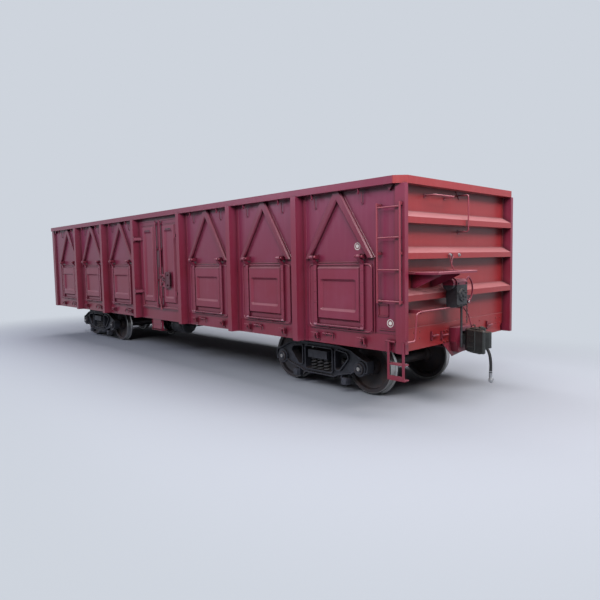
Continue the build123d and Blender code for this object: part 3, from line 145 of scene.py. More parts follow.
def circle(sides: int) -> list[Flat]:
    """Cosine and sine of each corner of a regular polygon."""
    angles = (2 * math.pi * step / sides for step in range(sides))
    return [(math.cos(angle), math.sin(angle)) for angle in angles]


def rounded(low: Flat, high: Flat, corner: float, steps: int) -> list[Flat]:
    """Outline of a rectangle with round corners.

    Args:
        low: Its lower corner.
        high: Its upper corner.
        corner: Radius of the corners.
        steps: Steps in each corner.

    Returns:
        Its points, anticlockwise from the upper right.
    """
    (x0, z0), (x1, z1) = low, high
    outline = []
    for turn, (x, z) in enumerate(((x1 - corner, z1 - corner), (x0 + corner, z1 - corner),
                                   (x0 + corner, z0 + corner), (x1 - corner, z0 + corner))):
        for step in range(steps + 1):
            angle = math.radians(90 * turn + 90 / steps * step)
            outline.append((x + corner * math.cos(angle), z + corner * math.sin(angle)))
    return outline


# --- nodes and finishes -----------------------------------------------------------------------
MIX_A, MIX_B, MIX_RESULT = 6, 7, 2


def linear(hex_colour: str) -> tuple[float, float, float, float]:
    """Turn an sRGB hex colour to linear light.

    Args:
        hex_colour: Six digits after a hash sign.

    Returns:
        Linear red, green and blue with an alpha of 1.
    """
    channels = [int(hex_colour[i:i + 2], 16) / 255 for i in (1, 3, 5)]
    red, green, blue = (c / 12.92 if c <= 0.04045 else ((c + 0.055) / 1.055) ** 2.4 for c in channels)
    return red, green, blue, 1.0


Socket = bpy.types.NodeSocket
Colour = str | Socket


class Graph:
    """Nodes of a material or of the world, added by what they do."""

    def __init__(self, owner: bpy.types.Material | bpy.types.World) -> None:
        """Empty the owner's nodes.

        Args:
            owner: Material or world to build.
        """
        owner.use_nodes = True
        self.tree = owner.node_tree
        self.tree.nodes.clear()

    def node(self, kind: str, inputs: Inputs | None = None, **settings: object) -> bpy.types.Node:
        """Add a node with its settings, its values and its links.

        Args:
            kind: Blender's name of the node's type, without its first words.
            inputs: Value, hex colour or output socket for each input, by name or number.
            **settings: Properties of the node itself.

        Returns:
            The new node.
        """
        node = self.tree.nodes.new(f"ShaderNode{kind}")
        for key, value in settings.items():
            setattr(node, key, value)
        for key, value in (inputs or {}).items():
            if isinstance(value, Socket):
                self.tree.links.new(value, node.inputs[key])
            else:
                node.inputs[key].default_value = linear(value) if isinstance(value, str) else value
        return node

    def add(self, kind: str, inputs: Inputs | None = None, out: str | int = 0, **settings: object) -> Socket:
        """Add a node as node() does, and return its output called out."""
        return self.node(kind, inputs, **settings).outputs[out]

    def where(self) -> Socket:
        """Place on the object."""
        return self.add("TexCoord", out="Object")

    def noise(self, place: Socket, size_mm: float, **inputs: float) -> Socket:
        """Add noise in clouds of about size_mm, with values round one half."""
        return self.add("TexNoise", {"Vector": place, "Scale": 1000.0 / size_mm, **inputs})

    def ramp(self, value: Socket, low: float = 0.0, high: float = 1.0, start: float = 0.0, end: float = 1.0,
             **settings: object) -> Socket:
        """Go from start to end as the value goes from low to high, and hold both outside."""
        return self.add("MapRange", {"Value": value, "From Min": low, "From Max": high, "To Min": start,
                                     "To Max": end}, **settings)

    def mix(self, share: Socket, first: Colour, second: Colour) -> Socket:
        """Go from the first colour to the second as share goes from 0 to 1."""
        return self.add("Mix", {0: share, MIX_A: first, MIX_B: second}, MIX_RESULT, data_type="RGBA")

    def math(self, operation: str, first: Socket, second: Socket | float) -> Socket:
        """Combine two values."""
        return self.add("Math", {0: first, 1: second}, operation=operation)

    def vector(self, operation: str, *inputs: Socket | Point, out: str | int = 0) -> Socket:
        """Combine vectors."""
        return self.add("VectorMath", dict(enumerate(inputs)), out, operation=operation)

    def bump(self, height: Socket, strength: float, distance: float, **inputs: Socket) -> Socket:
        """Tilt the surface by a height map."""
        return self.add("Bump", {"Height": height, "Strength": strength, "Distance": distance, **inputs})

    def surface(self, colour: Socket, **inputs: Socket | float) -> Socket:
        """Add the shader of an opaque surface."""
        return self.add("BsdfPrincipled", {"Base Color": colour, **inputs})


@dataclass(frozen=True)
class PaintedSteel:
    """Alkyd enamel sprayed on welded steel: semi-gloss, slightly sun-faded in patches, dusty on ledges, with
    painted light and shade: a highlight on ledges, a sky sheen toward the top, shade in corners.
    """

    name: str
    paint: str
    # colour of the sun-faded patches, and of the painted sky sheen toward the top
    bleached_and_sky_sheen: str
    # colour of the dust, also used for the painted highlight on up-facing ledges
    dust: str = "#ab8a8f"
    roughness: float = 0.33
    # share of that colour on up-facing ledges, as dust and painted highlight
    ledge_paling: float = 0.55
    # colour, strength and reach of the painted shade where pieces meet
    corner_shade_colour: str = "#1d0b12"
    corner_shade_strength: float = 0.75
    nook: float = 0.09
    streaks: float = 0.05
    patch_mm: float = 700.0
    streak_mm: float = 60.0
    # height from which the painted sky sheen grows toward the top
    sky_sheen_from: float = FLOOR_TOP + 0.5
    buckle_mm: float = 420.0
    buckle: float = 0.10
    grain_mm: float = 7.0

    def shade(self, graph: Graph) -> Socket:
        """Build the paint.

        Args:
            graph: Nodes of the material.

        Returns:
            The shader.
        """
        where = graph.where()
        upward = graph.add("SeparateXYZ", {"Vector": graph.add("NewGeometry", out="Normal")}, "Z")
        patches = graph.noise(where, self.patch_mm, Detail=4.0, Roughness=0.6)
        # patches faded by the sun, and a painted sky sheen that grows toward the top of the sides
        height = graph.add("SeparateXYZ", {"Vector": where}, "Z")
        bleach_and_sheen = graph.math("MAXIMUM", graph.ramp(patches, 0.36, 0.68, end=0.6),
                            graph.ramp(height, self.sky_sheen_from, TOP_Z, end=0.8))
        colour = graph.mix(bleach_and_sheen, self.paint, self.bleached_and_sky_sheen)
        # rain draws the dust down in narrow runs about as wide as a hand
        run = graph.add("Mapping", {"Vector": where, "Scale": (1.0, 1.0, 0.06)})
        run_dust = graph.ramp(graph.noise(run, self.streak_mm, Detail=3.0), 0.50, 0.78, end=self.streaks)
        # up-facing faces take dust and a painted highlight of the light from above
        ledge_dust_and_highlight = graph.math("MULTIPLY", graph.ramp(upward, 0.30, 0.80, end=self.ledge_paling),
                                graph.ramp(bleach_and_sheen, start=0.6))
        dust = graph.math("MAXIMUM", ledge_dust_and_highlight, run_dust)
        # painted shade: an ambient occlusion node darkens the paint where pieces meet and in recesses
        nook = graph.add("AmbientOcclusion", {"Distance": self.nook}, "AO", samples=6)
        shaded = graph.ramp(nook, 0.35, 0.95, self.corner_shade_strength, 0.0)
        colour = graph.mix(shaded, graph.mix(dust, colour, self.dust), self.corner_shade_colour)
        # sheet between welds buckles a little, and sprayed enamel has a fine grain
        wavy = graph.bump(graph.noise(where, self.buckle_mm, Detail=1.0), self.buckle, 0.05)
        bump = graph.bump(graph.noise(where, self.grain_mm, Detail=2.0), 0.12, 0.002, Normal=wavy)
        return graph.surface(colour, Roughness=graph.ramp(dust, start=self.roughness, end=0.9), Normal=bump)


@dataclass(frozen=True)
class CastSteel:
    """Sand-cast steel under thin black paint: a pebbled skin with brown brake dust on its ledges."""

    name: str
    skin: str
    worn: str
    dust: str = "#5b4c43"
    roughness: float = 0.5
    pebble_mm: float = 9.0
    patch_mm: float = 160.0
    ledge_paling: float = 0.55

    def shade(self, graph: Graph) -> Socket:
        """Build the casting's skin.

        Args:
            graph: Nodes of the material.

        Returns:
            The shader.
        """
        where = graph.where()
        upward = graph.add("SeparateXYZ", {"Vector": graph.add("NewGeometry", out="Normal")}, "Z")
        patches = graph.noise(where, self.patch_mm, Detail=5.0, Roughness=0.65)
        rubbed = graph.ramp(patches, 0.40, 0.70)
        dust = graph.math("MULTIPLY", graph.ramp(upward, 0.2, 0.9, end=self.ledge_paling), patches)
        colour = graph.mix(dust, graph.mix(rubbed, self.skin, self.worn), self.dust)
        dull = graph.ramp(rubbed, start=self.roughness + 0.12, end=self.roughness - 0.08)
        pebbles = graph.noise(where, self.pebble_mm, Detail=3.0, Roughness=0.6)
        return graph.surface(colour, Roughness=dull, Normal=graph.bump(pebbles, 0.45, 0.0025), IOR=1.5)


@dataclass(frozen=True)
class RolledWheel:
    """Rolled wheel steel: oily brown-black plate, with the tread and the flange run bright by the rail."""

    name: str
    axle_x: float
    skin: str = "#2e2a2e"
    rust: str = "#4a362d"
    tread: str = "#a6a5a3"
    tread_radius: float = 0.409
    blend: float = 0.003

    def shade(self, graph: Graph) -> Socket:
        """Build the steel round this axle.

        Args:
            graph: Nodes of the material.

        Returns:
            The shader.
        """
        where = graph.where()
        centred = graph.vector("SUBTRACT", where, (self.axle_x, 0.0, AXLE_Z))
        radius = graph.vector("LENGTH", graph.vector("MULTIPLY", centred, (1.0, 0.0, 1.0)), out="Value")
        rusty = graph.ramp(graph.noise(where, 120.0, Detail=5.0), 0.42, 0.72, end=0.55)
        run_in = graph.ramp(radius, self.tread_radius - self.blend, self.tread_radius + self.blend)
        colour = graph.mix(run_in, graph.mix(rusty, self.skin, self.rust), self.tread)
        # fine scratches, drawn 6 mm apart so that they show
        bump = graph.bump(graph.noise(where, 6.0, Detail=3.0), 0.18, 0.001)
        matt = graph.ramp(run_in, start=0.55, end=0.28)
        return graph.surface(colour, Metallic=run_in, Roughness=matt, Normal=bump)


@dataclass(frozen=True)
class BareMetal:
    """Machined or galvanised steel with fine scratches: grey, with broad soft highlights."""

    name: str
    metal: str
    tarnish: str
    roughness: float = 0.35
    patch_mm: float = 45.0
    grain_mm: float = 5.0

    def shade(self, graph: Graph) -> Socket:
        """Build the metal.

        Args:
            graph: Nodes of the material.

        Returns:
            The shader.
        """
        where = graph.where()
        colour = graph.mix(graph.noise(where, self.patch_mm, Detail=5.0), self.metal, self.tarnish)
        grain = graph.noise(where, self.grain_mm, Detail=3.0)
        matt = graph.ramp(grain, start=self.roughness - 0.08, end=self.roughness + 0.12)
        return graph.surface(colour, Metallic=1.0, Roughness=matt, Normal=graph.bump(grain, 0.2, 0.0008))


@dataclass(frozen=True)
class WrappedRubber:
    """Cloth-wrapped moulded rubber hose: matt black with the spiral print of its wrapping."""

    name: str
    rubber: str = "#17171a"
    bloom: str = "#3c3b3d"
    wrap_mm: float = 14.0

    def shade(self, graph: Graph) -> Socket:
        """Build the rubber.

        Args:
            graph: Nodes of the material.

        Returns:
            The shader.
        """
        where = graph.where()
        chalky = graph.ramp(graph.noise(where, 60.0, Detail=4.0), 0.45, 0.8, end=0.6)
        scale = 1000.0 / self.wrap_mm / 6.28
        wraps = graph.add("TexWave", {"Vector": where, "Scale": scale, "Distortion": 0.6}, "Fac",
                          bands_direction="Z")
        return graph.surface(graph.mix(chalky, self.rubber, self.bloom), Roughness=0.62,
                             Normal=graph.bump(wraps, 0.35, 0.001), IOR=1.52)


@dataclass(frozen=True)
class TwoTone:
    """Black casting whose upper cover and side guard are enamelled like the body."""

    name: str
    casting: CastSteel
    enamel: PaintedSteel
    above: float
    beside: float

    def shade(self, graph: Graph) -> Socket:
        """Build both coats and divide them by place.

        Args:
            graph: Nodes of the material.

        Returns:
            The shader.
        """
        where = graph.add("NewGeometry", out="Position")
        place = graph.node("SeparateXYZ", {"Vector": where}).outputs
        either = graph.math("MAXIMUM", graph.math("GREATER_THAN", place["Z"], self.above),
                            graph.math("GREATER_THAN", place["Y"], self.beside))
        return graph.add("MixShader", {0: either, 1: self.casting.shade(graph), 2: self.enamel.shade(graph)})


Finish = PaintedSteel | CastSteel | RolledWheel | BareMetal | WrappedRubber | TwoTone

MAROON_SHEET = PaintedSteel("enamel_maroon_sheet", "#731e37", "#7a3150")
MAROON_FRAMING = PaintedSteel("enamel_maroon_framing", "#781f33", "#7f304b", ledge_paling=0.32, buckle=0.04,
                              roughness=0.30)
# a darker copy of the body enamel with little ledge dust: painted shade on the braces
SHADED_MAROON_BRACES = PaintedSteel("enamel_maroon_braces", "#6b1c2f", "#722a43", ledge_paling=0.14, buckle=0.04)
MAROON_DOORS = PaintedSteel("enamel_maroon_doors", "#7a2038", "#823550", buckle=0.06)
# a redder copy of the body enamel: painted warm light on the end faces
WARM_LIT_ENDS = PaintedSteel("enamel_red_ends", "#8c252a", "#963237", buckle=0.05)
WORN_FLOOR = PaintedSteel("primer_maroon_worn_floor", "#40262a", "#4a3030", dust="#54463f", roughness=0.6,
                          ledge_paling=0.4, patch_mm=350.0, buckle=0.12)
# darker maroon for the lock gear
DARK_MAROON = PaintedSteel("enamel_maroon_dark_lock", "#4c1626", "#5a2036", ledge_paling=0.3,
                              roughness=0.4)
# a paler copy of the body enamel with pale dust on its ledges: the painted highlight of bars, rails, levers
# and pin heads
HIGHLIT_MAROON = PaintedSteel("enamel_maroon_rubbed_bars", "#84303f", "#924050", dust="#d0a4ac", roughness=0.3,
                             buckle=0.0)
WHITE_MARKING = PaintedSteel("stencilled_white_marking", "#d9d6d2", "#c4bfbb", dust="#9a8d8d", buckle=0.0)
BOGIE_CASTING = CastSteel("cast_steel_bogie_blue_black", "#1a1b23", "#2e303a")
COUPLER_CASTING = CastSteel("cast_steel_coupler_green_black", "#181b1b", "#292d2c", roughness=0.38)
BEAM_TUBE = CastSteel("rolled_tube_brake_beam_blue_grey", "#2d2f38", "#484a54", roughness=0.4)
SPRING_STEEL = CastSteel("wound_spring_steel_black", "#1d1e22", "#3a3a3d", pebble_mm=5.0, roughness=0.4)
BLACK_GEAR = CastSteel("cast_iron_black_gear", "#1c1c1f", "#34343a", pebble_mm=6.0)
BRIGHT_FITTING = BareMetal("galvanised_bright_fitting", "#c3c5c8", "#8f9194")
TURNED_STEEL = BareMetal("turned_steel_axle_end", "#b4b2ae", "#7b7672", roughness=0.3)
HOSE_RUBBER = WrappedRubber("wrapped_rubber_hose")
HAND_BRAKE_COAT = TwoTone("cast_iron_hand_brake_two_coats", BLACK_GEAR, MAROON_FRAMING, above=RAIL_Z + 1.700,
                          beside=-0.250)


@functools.lru_cache(maxsize=None)
def material_of(finish: Finish) -> bpy.types.Material:
    """Material of a finish, built once.

    Args:
        finish: The finish to build.

    Returns:
        The material.
    """
    material = bpy.data.materials.new(finish.name)
    graph = Graph(material)
    graph.node("OutputMaterial", {"Surface": finish.shade(graph)})
    return material


def link(name: str, data: bpy.types.ID) -> bpy.types.Object:
    """Put a mesh, a curve, a light or a camera in the scene.

    Args:
        name: Name of the object.
        data: What it shows.

    Returns:
        The object.
    """
    made = bpy.data.objects.new(name, data)
    bpy.context.scene.collection.objects.link(made)
    return made


# --- making meshes ----------------------------------------------------------------------------
Rings = Sequence[Sequence[bmesh.types.BMVert]]


class Shape:
    """Mesh made of plates, bars, bolts and weld beads, before it is placed."""

    def __init__(self, seed: int) -> None:
        """Start an empty mesh, with dice for the small differences from one weld to the next."""
        self.mesh = bmesh.new()
        self.dice = random.Random(seed)

    def skin(self, rings: Rings, closed: bool = False) -> list[bmesh.types.BMFace]:
        """Join rings of corners by faces.

        Args:
            rings: The rings, each with the same number of corners.
            closed: Join the last ring to the first; otherwise both ends are filled.

        Returns:
            The faces.
        """
        make = self.mesh.faces.new
        faces = []
        for ring, after in zip(rings, [*rings[1:], rings[0]] if closed else rings[1:]):
            for i in range(len(ring)):
                j = (i + 1) % len(ring)
                faces.append(make((ring[i], ring[j], after[j], after[i])))
        if not closed:
            faces += [make(rings[0]), make(rings[-1])]
        bmesh.ops.recalc_face_normals(self.mesh, faces=faces)
        return faces

    def prism(self, outline: Sequence[Flat], axis: Axis, start: float, end: float,
              bevel: float = 0.0) -> None:
        """Sweep a closed outline straight along an axis.

        Args:
            outline: Corners on the other two axes, in their order.
            axis: Direction of the sweep.
            start: Where it starts on the axis.
            end: Where it ends.
            bevel: Width of the rounding of all its edges, or 0.
        """
        rings = []
        for along in (start, end):
            corners = [list(pair) for pair in outline]
            for corner in corners:
                corner.insert(axis.value, along)
            rings.append([self.mesh.verts.new(corner) for corner in corners])
        edges = list({edge for face in self.skin(rings) for edge in face.edges})
        if bevel:
            bmesh.ops.bevel(self.mesh, geom=edges, offset=bevel, segments=2, affect="EDGES",
                            clamp_overlap=True)

    def plate(self, corner: Point, opposite: Point, bevel: float = 0.0015) -> None:
        """Add a plate with softened edges between two opposite corners."""
        (x0, x1), (y0, y1), (z0, z1) = (sorted(pair) for pair in zip(corner, opposite))
        self.prism([(y0, z0), (y1, z0), (y1, z1), (y0, z1)], Axis.X, x0, x1, bevel)

    def rod(self, start: Point, end: Point, radius: float, sides: int = 14,
            end_radius: float | None = None) -> None:
        """Add a round bar or a cone between two points.

        Args:
            start: Middle of its first end.
            end: Middle of its other end.
            radius: Radius at the start.
            sides: Number of sides.
            end_radius: Radius at the end, if it differs.
        """
        first, last = Vector(start), Vector(end)
        turn = (last - first).to_track_quat("Z", "Y").to_matrix().to_4x4()
        bmesh.ops.create_cone(
            self.mesh, cap_ends=True, segments=sides, radius1=radius,
            radius2=radius if end_radius is None else end_radius,
            depth=(last - first).length, matrix=Matrix.Translation((first + last) / 2) @ turn)

    def pin(self, middle: Point, axis: Axis, half: float, radius: float, sides: int = 12) -> None:
        """Add a round bar that is centred on a point.

        Args:
            middle: Its middle.
            axis: Direction that it runs in.
            half: Half of its length.
            radius: Its radius.
            sides: Number of sides.
        """
        start, end = list(middle), list(middle)
        start[axis.value] -= half
        end[axis.value] += half
        self.rod(start, end, radius, sides)

    def turned(self, profile: Sequence[Flat], origin: Point, axis: Axis, sides: int,
               closed: bool = False) -> None:
        """Turn a profile round an axis, as on a lathe.

        Args:
            profile: Pairs of the place along the axis and the radius.
            origin: A point on the axis.
            axis: Direction of the axis.
            sides: Number of facets round it.
            closed: The profile is the whole section of a ring that is open in its middle.
        """
        first, second = (index for index in range(3) if index != axis.value)
        rings = []
        for along, radius in profile:
            ring = []
            for cosine, sine in circle(sides):
                corner = list(origin)
                corner[axis.value] += along
                corner[first] += radius * cosine
                corner[second] += radius * sine
                ring.append(self.mesh.verts.new(corner))
            rings.append(ring)
        self.skin(rings, closed)

    def tube(self, points: Sequence[Point], radius: float, sides: int = 8) -> None:
        """Add a round bar that follows the points, mitred at each.

        Args:
            points: The middle line.
            radius: Radius of the bar.
            sides: Number of sides.
        """
        path = [Vector(point) for point in points]
        runs = [(b - a).normalized() for a, b in zip(path, path[1:])]
        across = runs[0].orthogonal().normalized()
        rings = []
        for i, middle in enumerate(path):
            before, after = runs[max(i - 1, 0)], runs[min(i, len(runs) - 1)]
            direction = (before + after).normalized()
            across = (across - direction * across.dot(direction)).normalized()
            other = direction.cross(across)
            spread = 1.0 / max(0.5, direction.dot(after)) if 0 < i < len(path) - 1 else 1
            rings.append([self.mesh.verts.new(middle + (across * cosine + other * sine) * radius * spread)
                          for cosine, sine in circle(sides)])
        self.skin(rings)

    def rivet(self, place: Point, out: Point, radius: float = 0.009) -> None:
        """Add a low domed rivet head on a face.

        Args:
            place: Middle of its foot.
            out: Direction away from the face.
            radius: Radius of its foot.
        """
        foot, away = Vector(place), Vector(out).normalized()
        self.rod(foot - away * 0.001, foot + away * radius * 0.42, radius, 10, radius * 0.82)
        self.rod(foot + away * radius * 0.42, foot + away * radius * 0.68, radius * 0.82, 10, radius * 0.38)

    def bolt(self, place: Point, out: Point, across: float = 0.030) -> None:
        """Add a washer, a hexagon nut and the thread's end on a face.

        Args:
            place: Middle of the washer's foot.
            out: Direction away from the face.
            across: Width of the nut over its corners.
        """
        foot, away = Vector(place), Vector(out).normalized()
        washer, nut, thread = 0.003, 0.003 + across * 0.38, 0.006 + across * 0.46
        self.rod(foot - away * 0.001, foot + away * washer, across * 0.66, 14)
        self.rod(foot + away * washer, foot + away * nut, across / 2, 6)
        self.rod(foot + away * nut, foot + away * thread, across * 0.26, 10)

    def bead(self, start: Point, end: Point, radius: float = WELD, step: float = 0.05) -> None:
        """Add a fillet weld whose ripples differ a little from one to the next.

        Args:
            start: One end of the seam.
            end: Other end of the seam.
            radius: Size of the weld.
            step: Length of one ripple.
        """
        first, last = Vector(start), Vector(end)
        count = max(2, round((last - first).length / step))
        direction = (last - first).normalized()
        across = direction.orthogonal().normalized()
        other = direction.cross(across)
        rings = []
        for i in range(count + 1):
            size = radius * (1.0 + self.dice.uniform(-0.18, 0.18))
            middle = first.lerp(last, i / count)
            rings.append([self.mesh.verts.new(middle + (across * math.cos(a) + other * math.sin(a)) * size)
                          for a in (math.pi / 4 + k * math.pi / 2 for k in range(4))])
        self.skin(rings)

    def place(self, name: str, body: str, finish: Finish, slot: str,
              matrices: Iterable[Matrix] = (Matrix.Identity(4),)) -> bpy.types.Object:
        """Copy the mesh to its places as one object that rides on a body.

        Args:
            name: Name of the object.
            body: Body of the frame that carries it.
            finish: Its finish.
            slot: Material slot of the record that it belongs to; not used.
            matrices: One matrix for each copy.

        Returns:
            The object.
        """
        whole = bmesh.new()
        for matrix in matrices:
            copy = self.mesh.copy()
            copy.transform(matrix)
            if matrix.determinant() < 0:
                bmesh.ops.reverse_faces(copy, faces=copy.faces)
            part = bpy.data.meshes.new("part")
            copy.to_mesh(part)
            copy.free()
            whole.from_mesh(part)
            bpy.data.meshes.remove(part)
        mesh = bpy.data.meshes.new(name)
        whole.to_mesh(mesh)
        whole.free()
        mesh.shade_smooth()
        mesh.set_sharp_from_angle(angle=math.radians(32))
        mesh.materials.append(material_of(finish))
        piece = link(name, mesh)
        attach(piece, body)
        log.info("%s: %d faces on %s", name, len(mesh.polygons), body)
        return piece


ALL_QUARTERS = [quarter.matrix for quarter in Quarter]
DIAGONAL_QUARTERS = [Quarter.RIGHT_FRONT.matrix, Quarter.LEFT_REAR.matrix]
BOTH_ENDS = [Matrix.Identity(4), Matrix.Rotation(math.pi, 4, "Z")]


# --- studio -----------------------------------------------------------------------------------
@dataclass(frozen=True)
class Lamp:
    """Soft rectangular lamp: where it hangs, what it faces, its width and height, power and tint."""

    name: str
    place: Point
    aim: Point
    size: Flat
    watts: float
    tint: str = "#ffffff"

    def hang(self) -> None:
        """Hang the lamp."""
        light = bpy.data.lights.new(self.name, "AREA")
        light.shape = "RECTANGLE"
        light.size, light.size_y = self.size
        light.energy = self.watts
        light.color = linear(self.tint)[:3]
        turn = (Vector(self.aim) - Vector(self.place)).to_track_quat("-Z", "Y").to_matrix().to_4x4()
        link(self.name, light).matrix_world = Matrix.Translation(self.place) @ turn


@dataclass
class Studio:
    """Pale floor, soft light from above and the camera at the wagon's front right corner."""

    eye: Point = (10.457, -7.171, RAIL_Z + 2.104)
    yaw: float = math.radians(46.80)
    pitch: float = math.radians(-4.31)
    roll: float = math.radians(-1.06)
    focal_px: float = 535.0
    frame_px: float = 600.0
    centre_row_px: float = 299.0
    sensor: float = 36.0
    backdrop: str = "#ced4dd"
    floor_tone: str = "#9ca0aa"
    floor_bounce: str = "#5c5e64"
    ambient: float = 0.10
    floor_radius: float = 60.0
    floor_fade: Flat = (2.2, 7.0)
    lamps: tuple[Lamp, ...] = (
        Lamp("sky_panel", (1.0, 1.5, 10.0), (1.0, 1.0, 0.0), (26.0, 7.0), 2600.0),
        Lamp("side_panel", (9.0, -9.5, 8.0), (0.5, -1.5, 1.5), (16.0, 2.4), 1650.0),
        Lamp("far_panel", (-7.0, -9.5, 7.0), (-4.0, -1.5, 1.5), (6.0, 2.4), 420.0, "#e2e6ff"),
        Lamp("end_panel", (13.5, 2.0, 9.0), (6.4, 0.0, 2.0), (4.0, 2.4), 530.0, "#fff4ec"),
    )

    def camera(self) -> None:
        """Set the camera."""
        forward = Vector((-math.sin(self.yaw) * math.cos(self.pitch),
                          math.cos(self.yaw) * math.cos(self.pitch), math.sin(self.pitch)))
        level = Vector((math.cos(self.yaw), math.sin(self.yaw), 0.0))
        up = level.cross(forward)
        right = level * math.cos(self.roll) + up * math.sin(self.roll)
        top = up * math.cos(self.roll) - level * math.sin(self.roll)
        lens = bpy.data.cameras.new("studio_camera")
        lens.sensor_width = self.sensor
        lens.lens = self.sensor * self.focal_px / self.frame_px
        lens.shift_y = (self.centre_row_px - self.frame_px / 2) / self.frame_px
        lens.clip_end = 200.0
        camera = link("studio_camera", lens)
        turn = Matrix((right, top, -forward)).transposed().to_4x4()
        camera.matrix_world = Matrix.Translation(self.eye) @ turn
        bpy.context.scene.camera = camera
        bpy.context.scene.view_settings.view_transform = "Standard"

    def seen(self, graph: Graph) -> Socket:
        """One for rays that show the backdrop as it is, straight, mirrored or through.

        Args:
            graph: Nodes of the floor or of the world.

        Returns:
            The socket.
        """
        rays = graph.node("LightPath").outputs
        straight = graph.math("MAXIMUM", rays["Is Camera Ray"], rays["Is Glossy Ray"])
        return graph.math("MAXIMUM", straight, rays["Is Transmission Ray"])

    def surroundings(self) -> None:
        """Light from all round, with the pale backdrop behind."""
        world = bpy.data.worlds.new("studio_world")
        bpy.context.scene.world = world
        graph = Graph(world)
        around = graph.add("Background", {"Color": "#ffffff", "Strength": self.ambient})
        shown = graph.add("Background", {"Color": self.backdrop, "Strength": 1.0})
        mixed = graph.add("MixShader", {0: self.seen(graph), 1: around, 2: shown})
        graph.node("OutputWorld", {"Surface": mixed})

    def floor(self) -> None:
        """Matt floor that goes over into the backdrop away from the wagon."""
        material = bpy.data.materials.new("studio_floor")
        graph = Graph(material)
        seen = self.seen(graph)
        # how far a point of the floor is from the wagon's middle line
        beside = graph.vector("ABSOLUTE", graph.where())
        past_end = graph.vector("SUBTRACT", beside, (END_FRONT - 1.0, 0.0, 0.0))
        away = graph.vector("LENGTH", graph.vector("MAXIMUM", past_end, (0.0, 0.0, 0.0)), out="Value")
        fade = graph.ramp(away, *self.floor_fade, interpolation_type="SMOOTHSTEP")
        # the floor looks pale, but throws little light back up under the wagon
        matt = graph.add("BsdfDiffuse", {"Color": graph.mix(seen, self.floor_bounce, self.floor_tone)})
        plain = graph.add("Emission", {"Color": self.backdrop, "Strength": 1.0})
        far = graph.math("MULTIPLY", fade, seen)
        graph.node("OutputMaterial", {"Surface": graph.add("MixShader", {0: far, 1: matt, 2: plain})})
        grid = bmesh.new()
        bmesh.ops.create_circle(grid, cap_ends=True, segments=96, radius=self.floor_radius)
        mesh = bpy.data.meshes.new("studio_floor")
        grid.to_mesh(mesh)
        grid.free()
        mesh.materials.append(material)
        link("studio_floor", mesh)

    def build(self) -> None:
        """Set up camera, backdrop, floor and lamps."""
        self.camera()
        self.surroundings()
        self.floor()
        for lamp in self.lamps:
            lamp.hang()


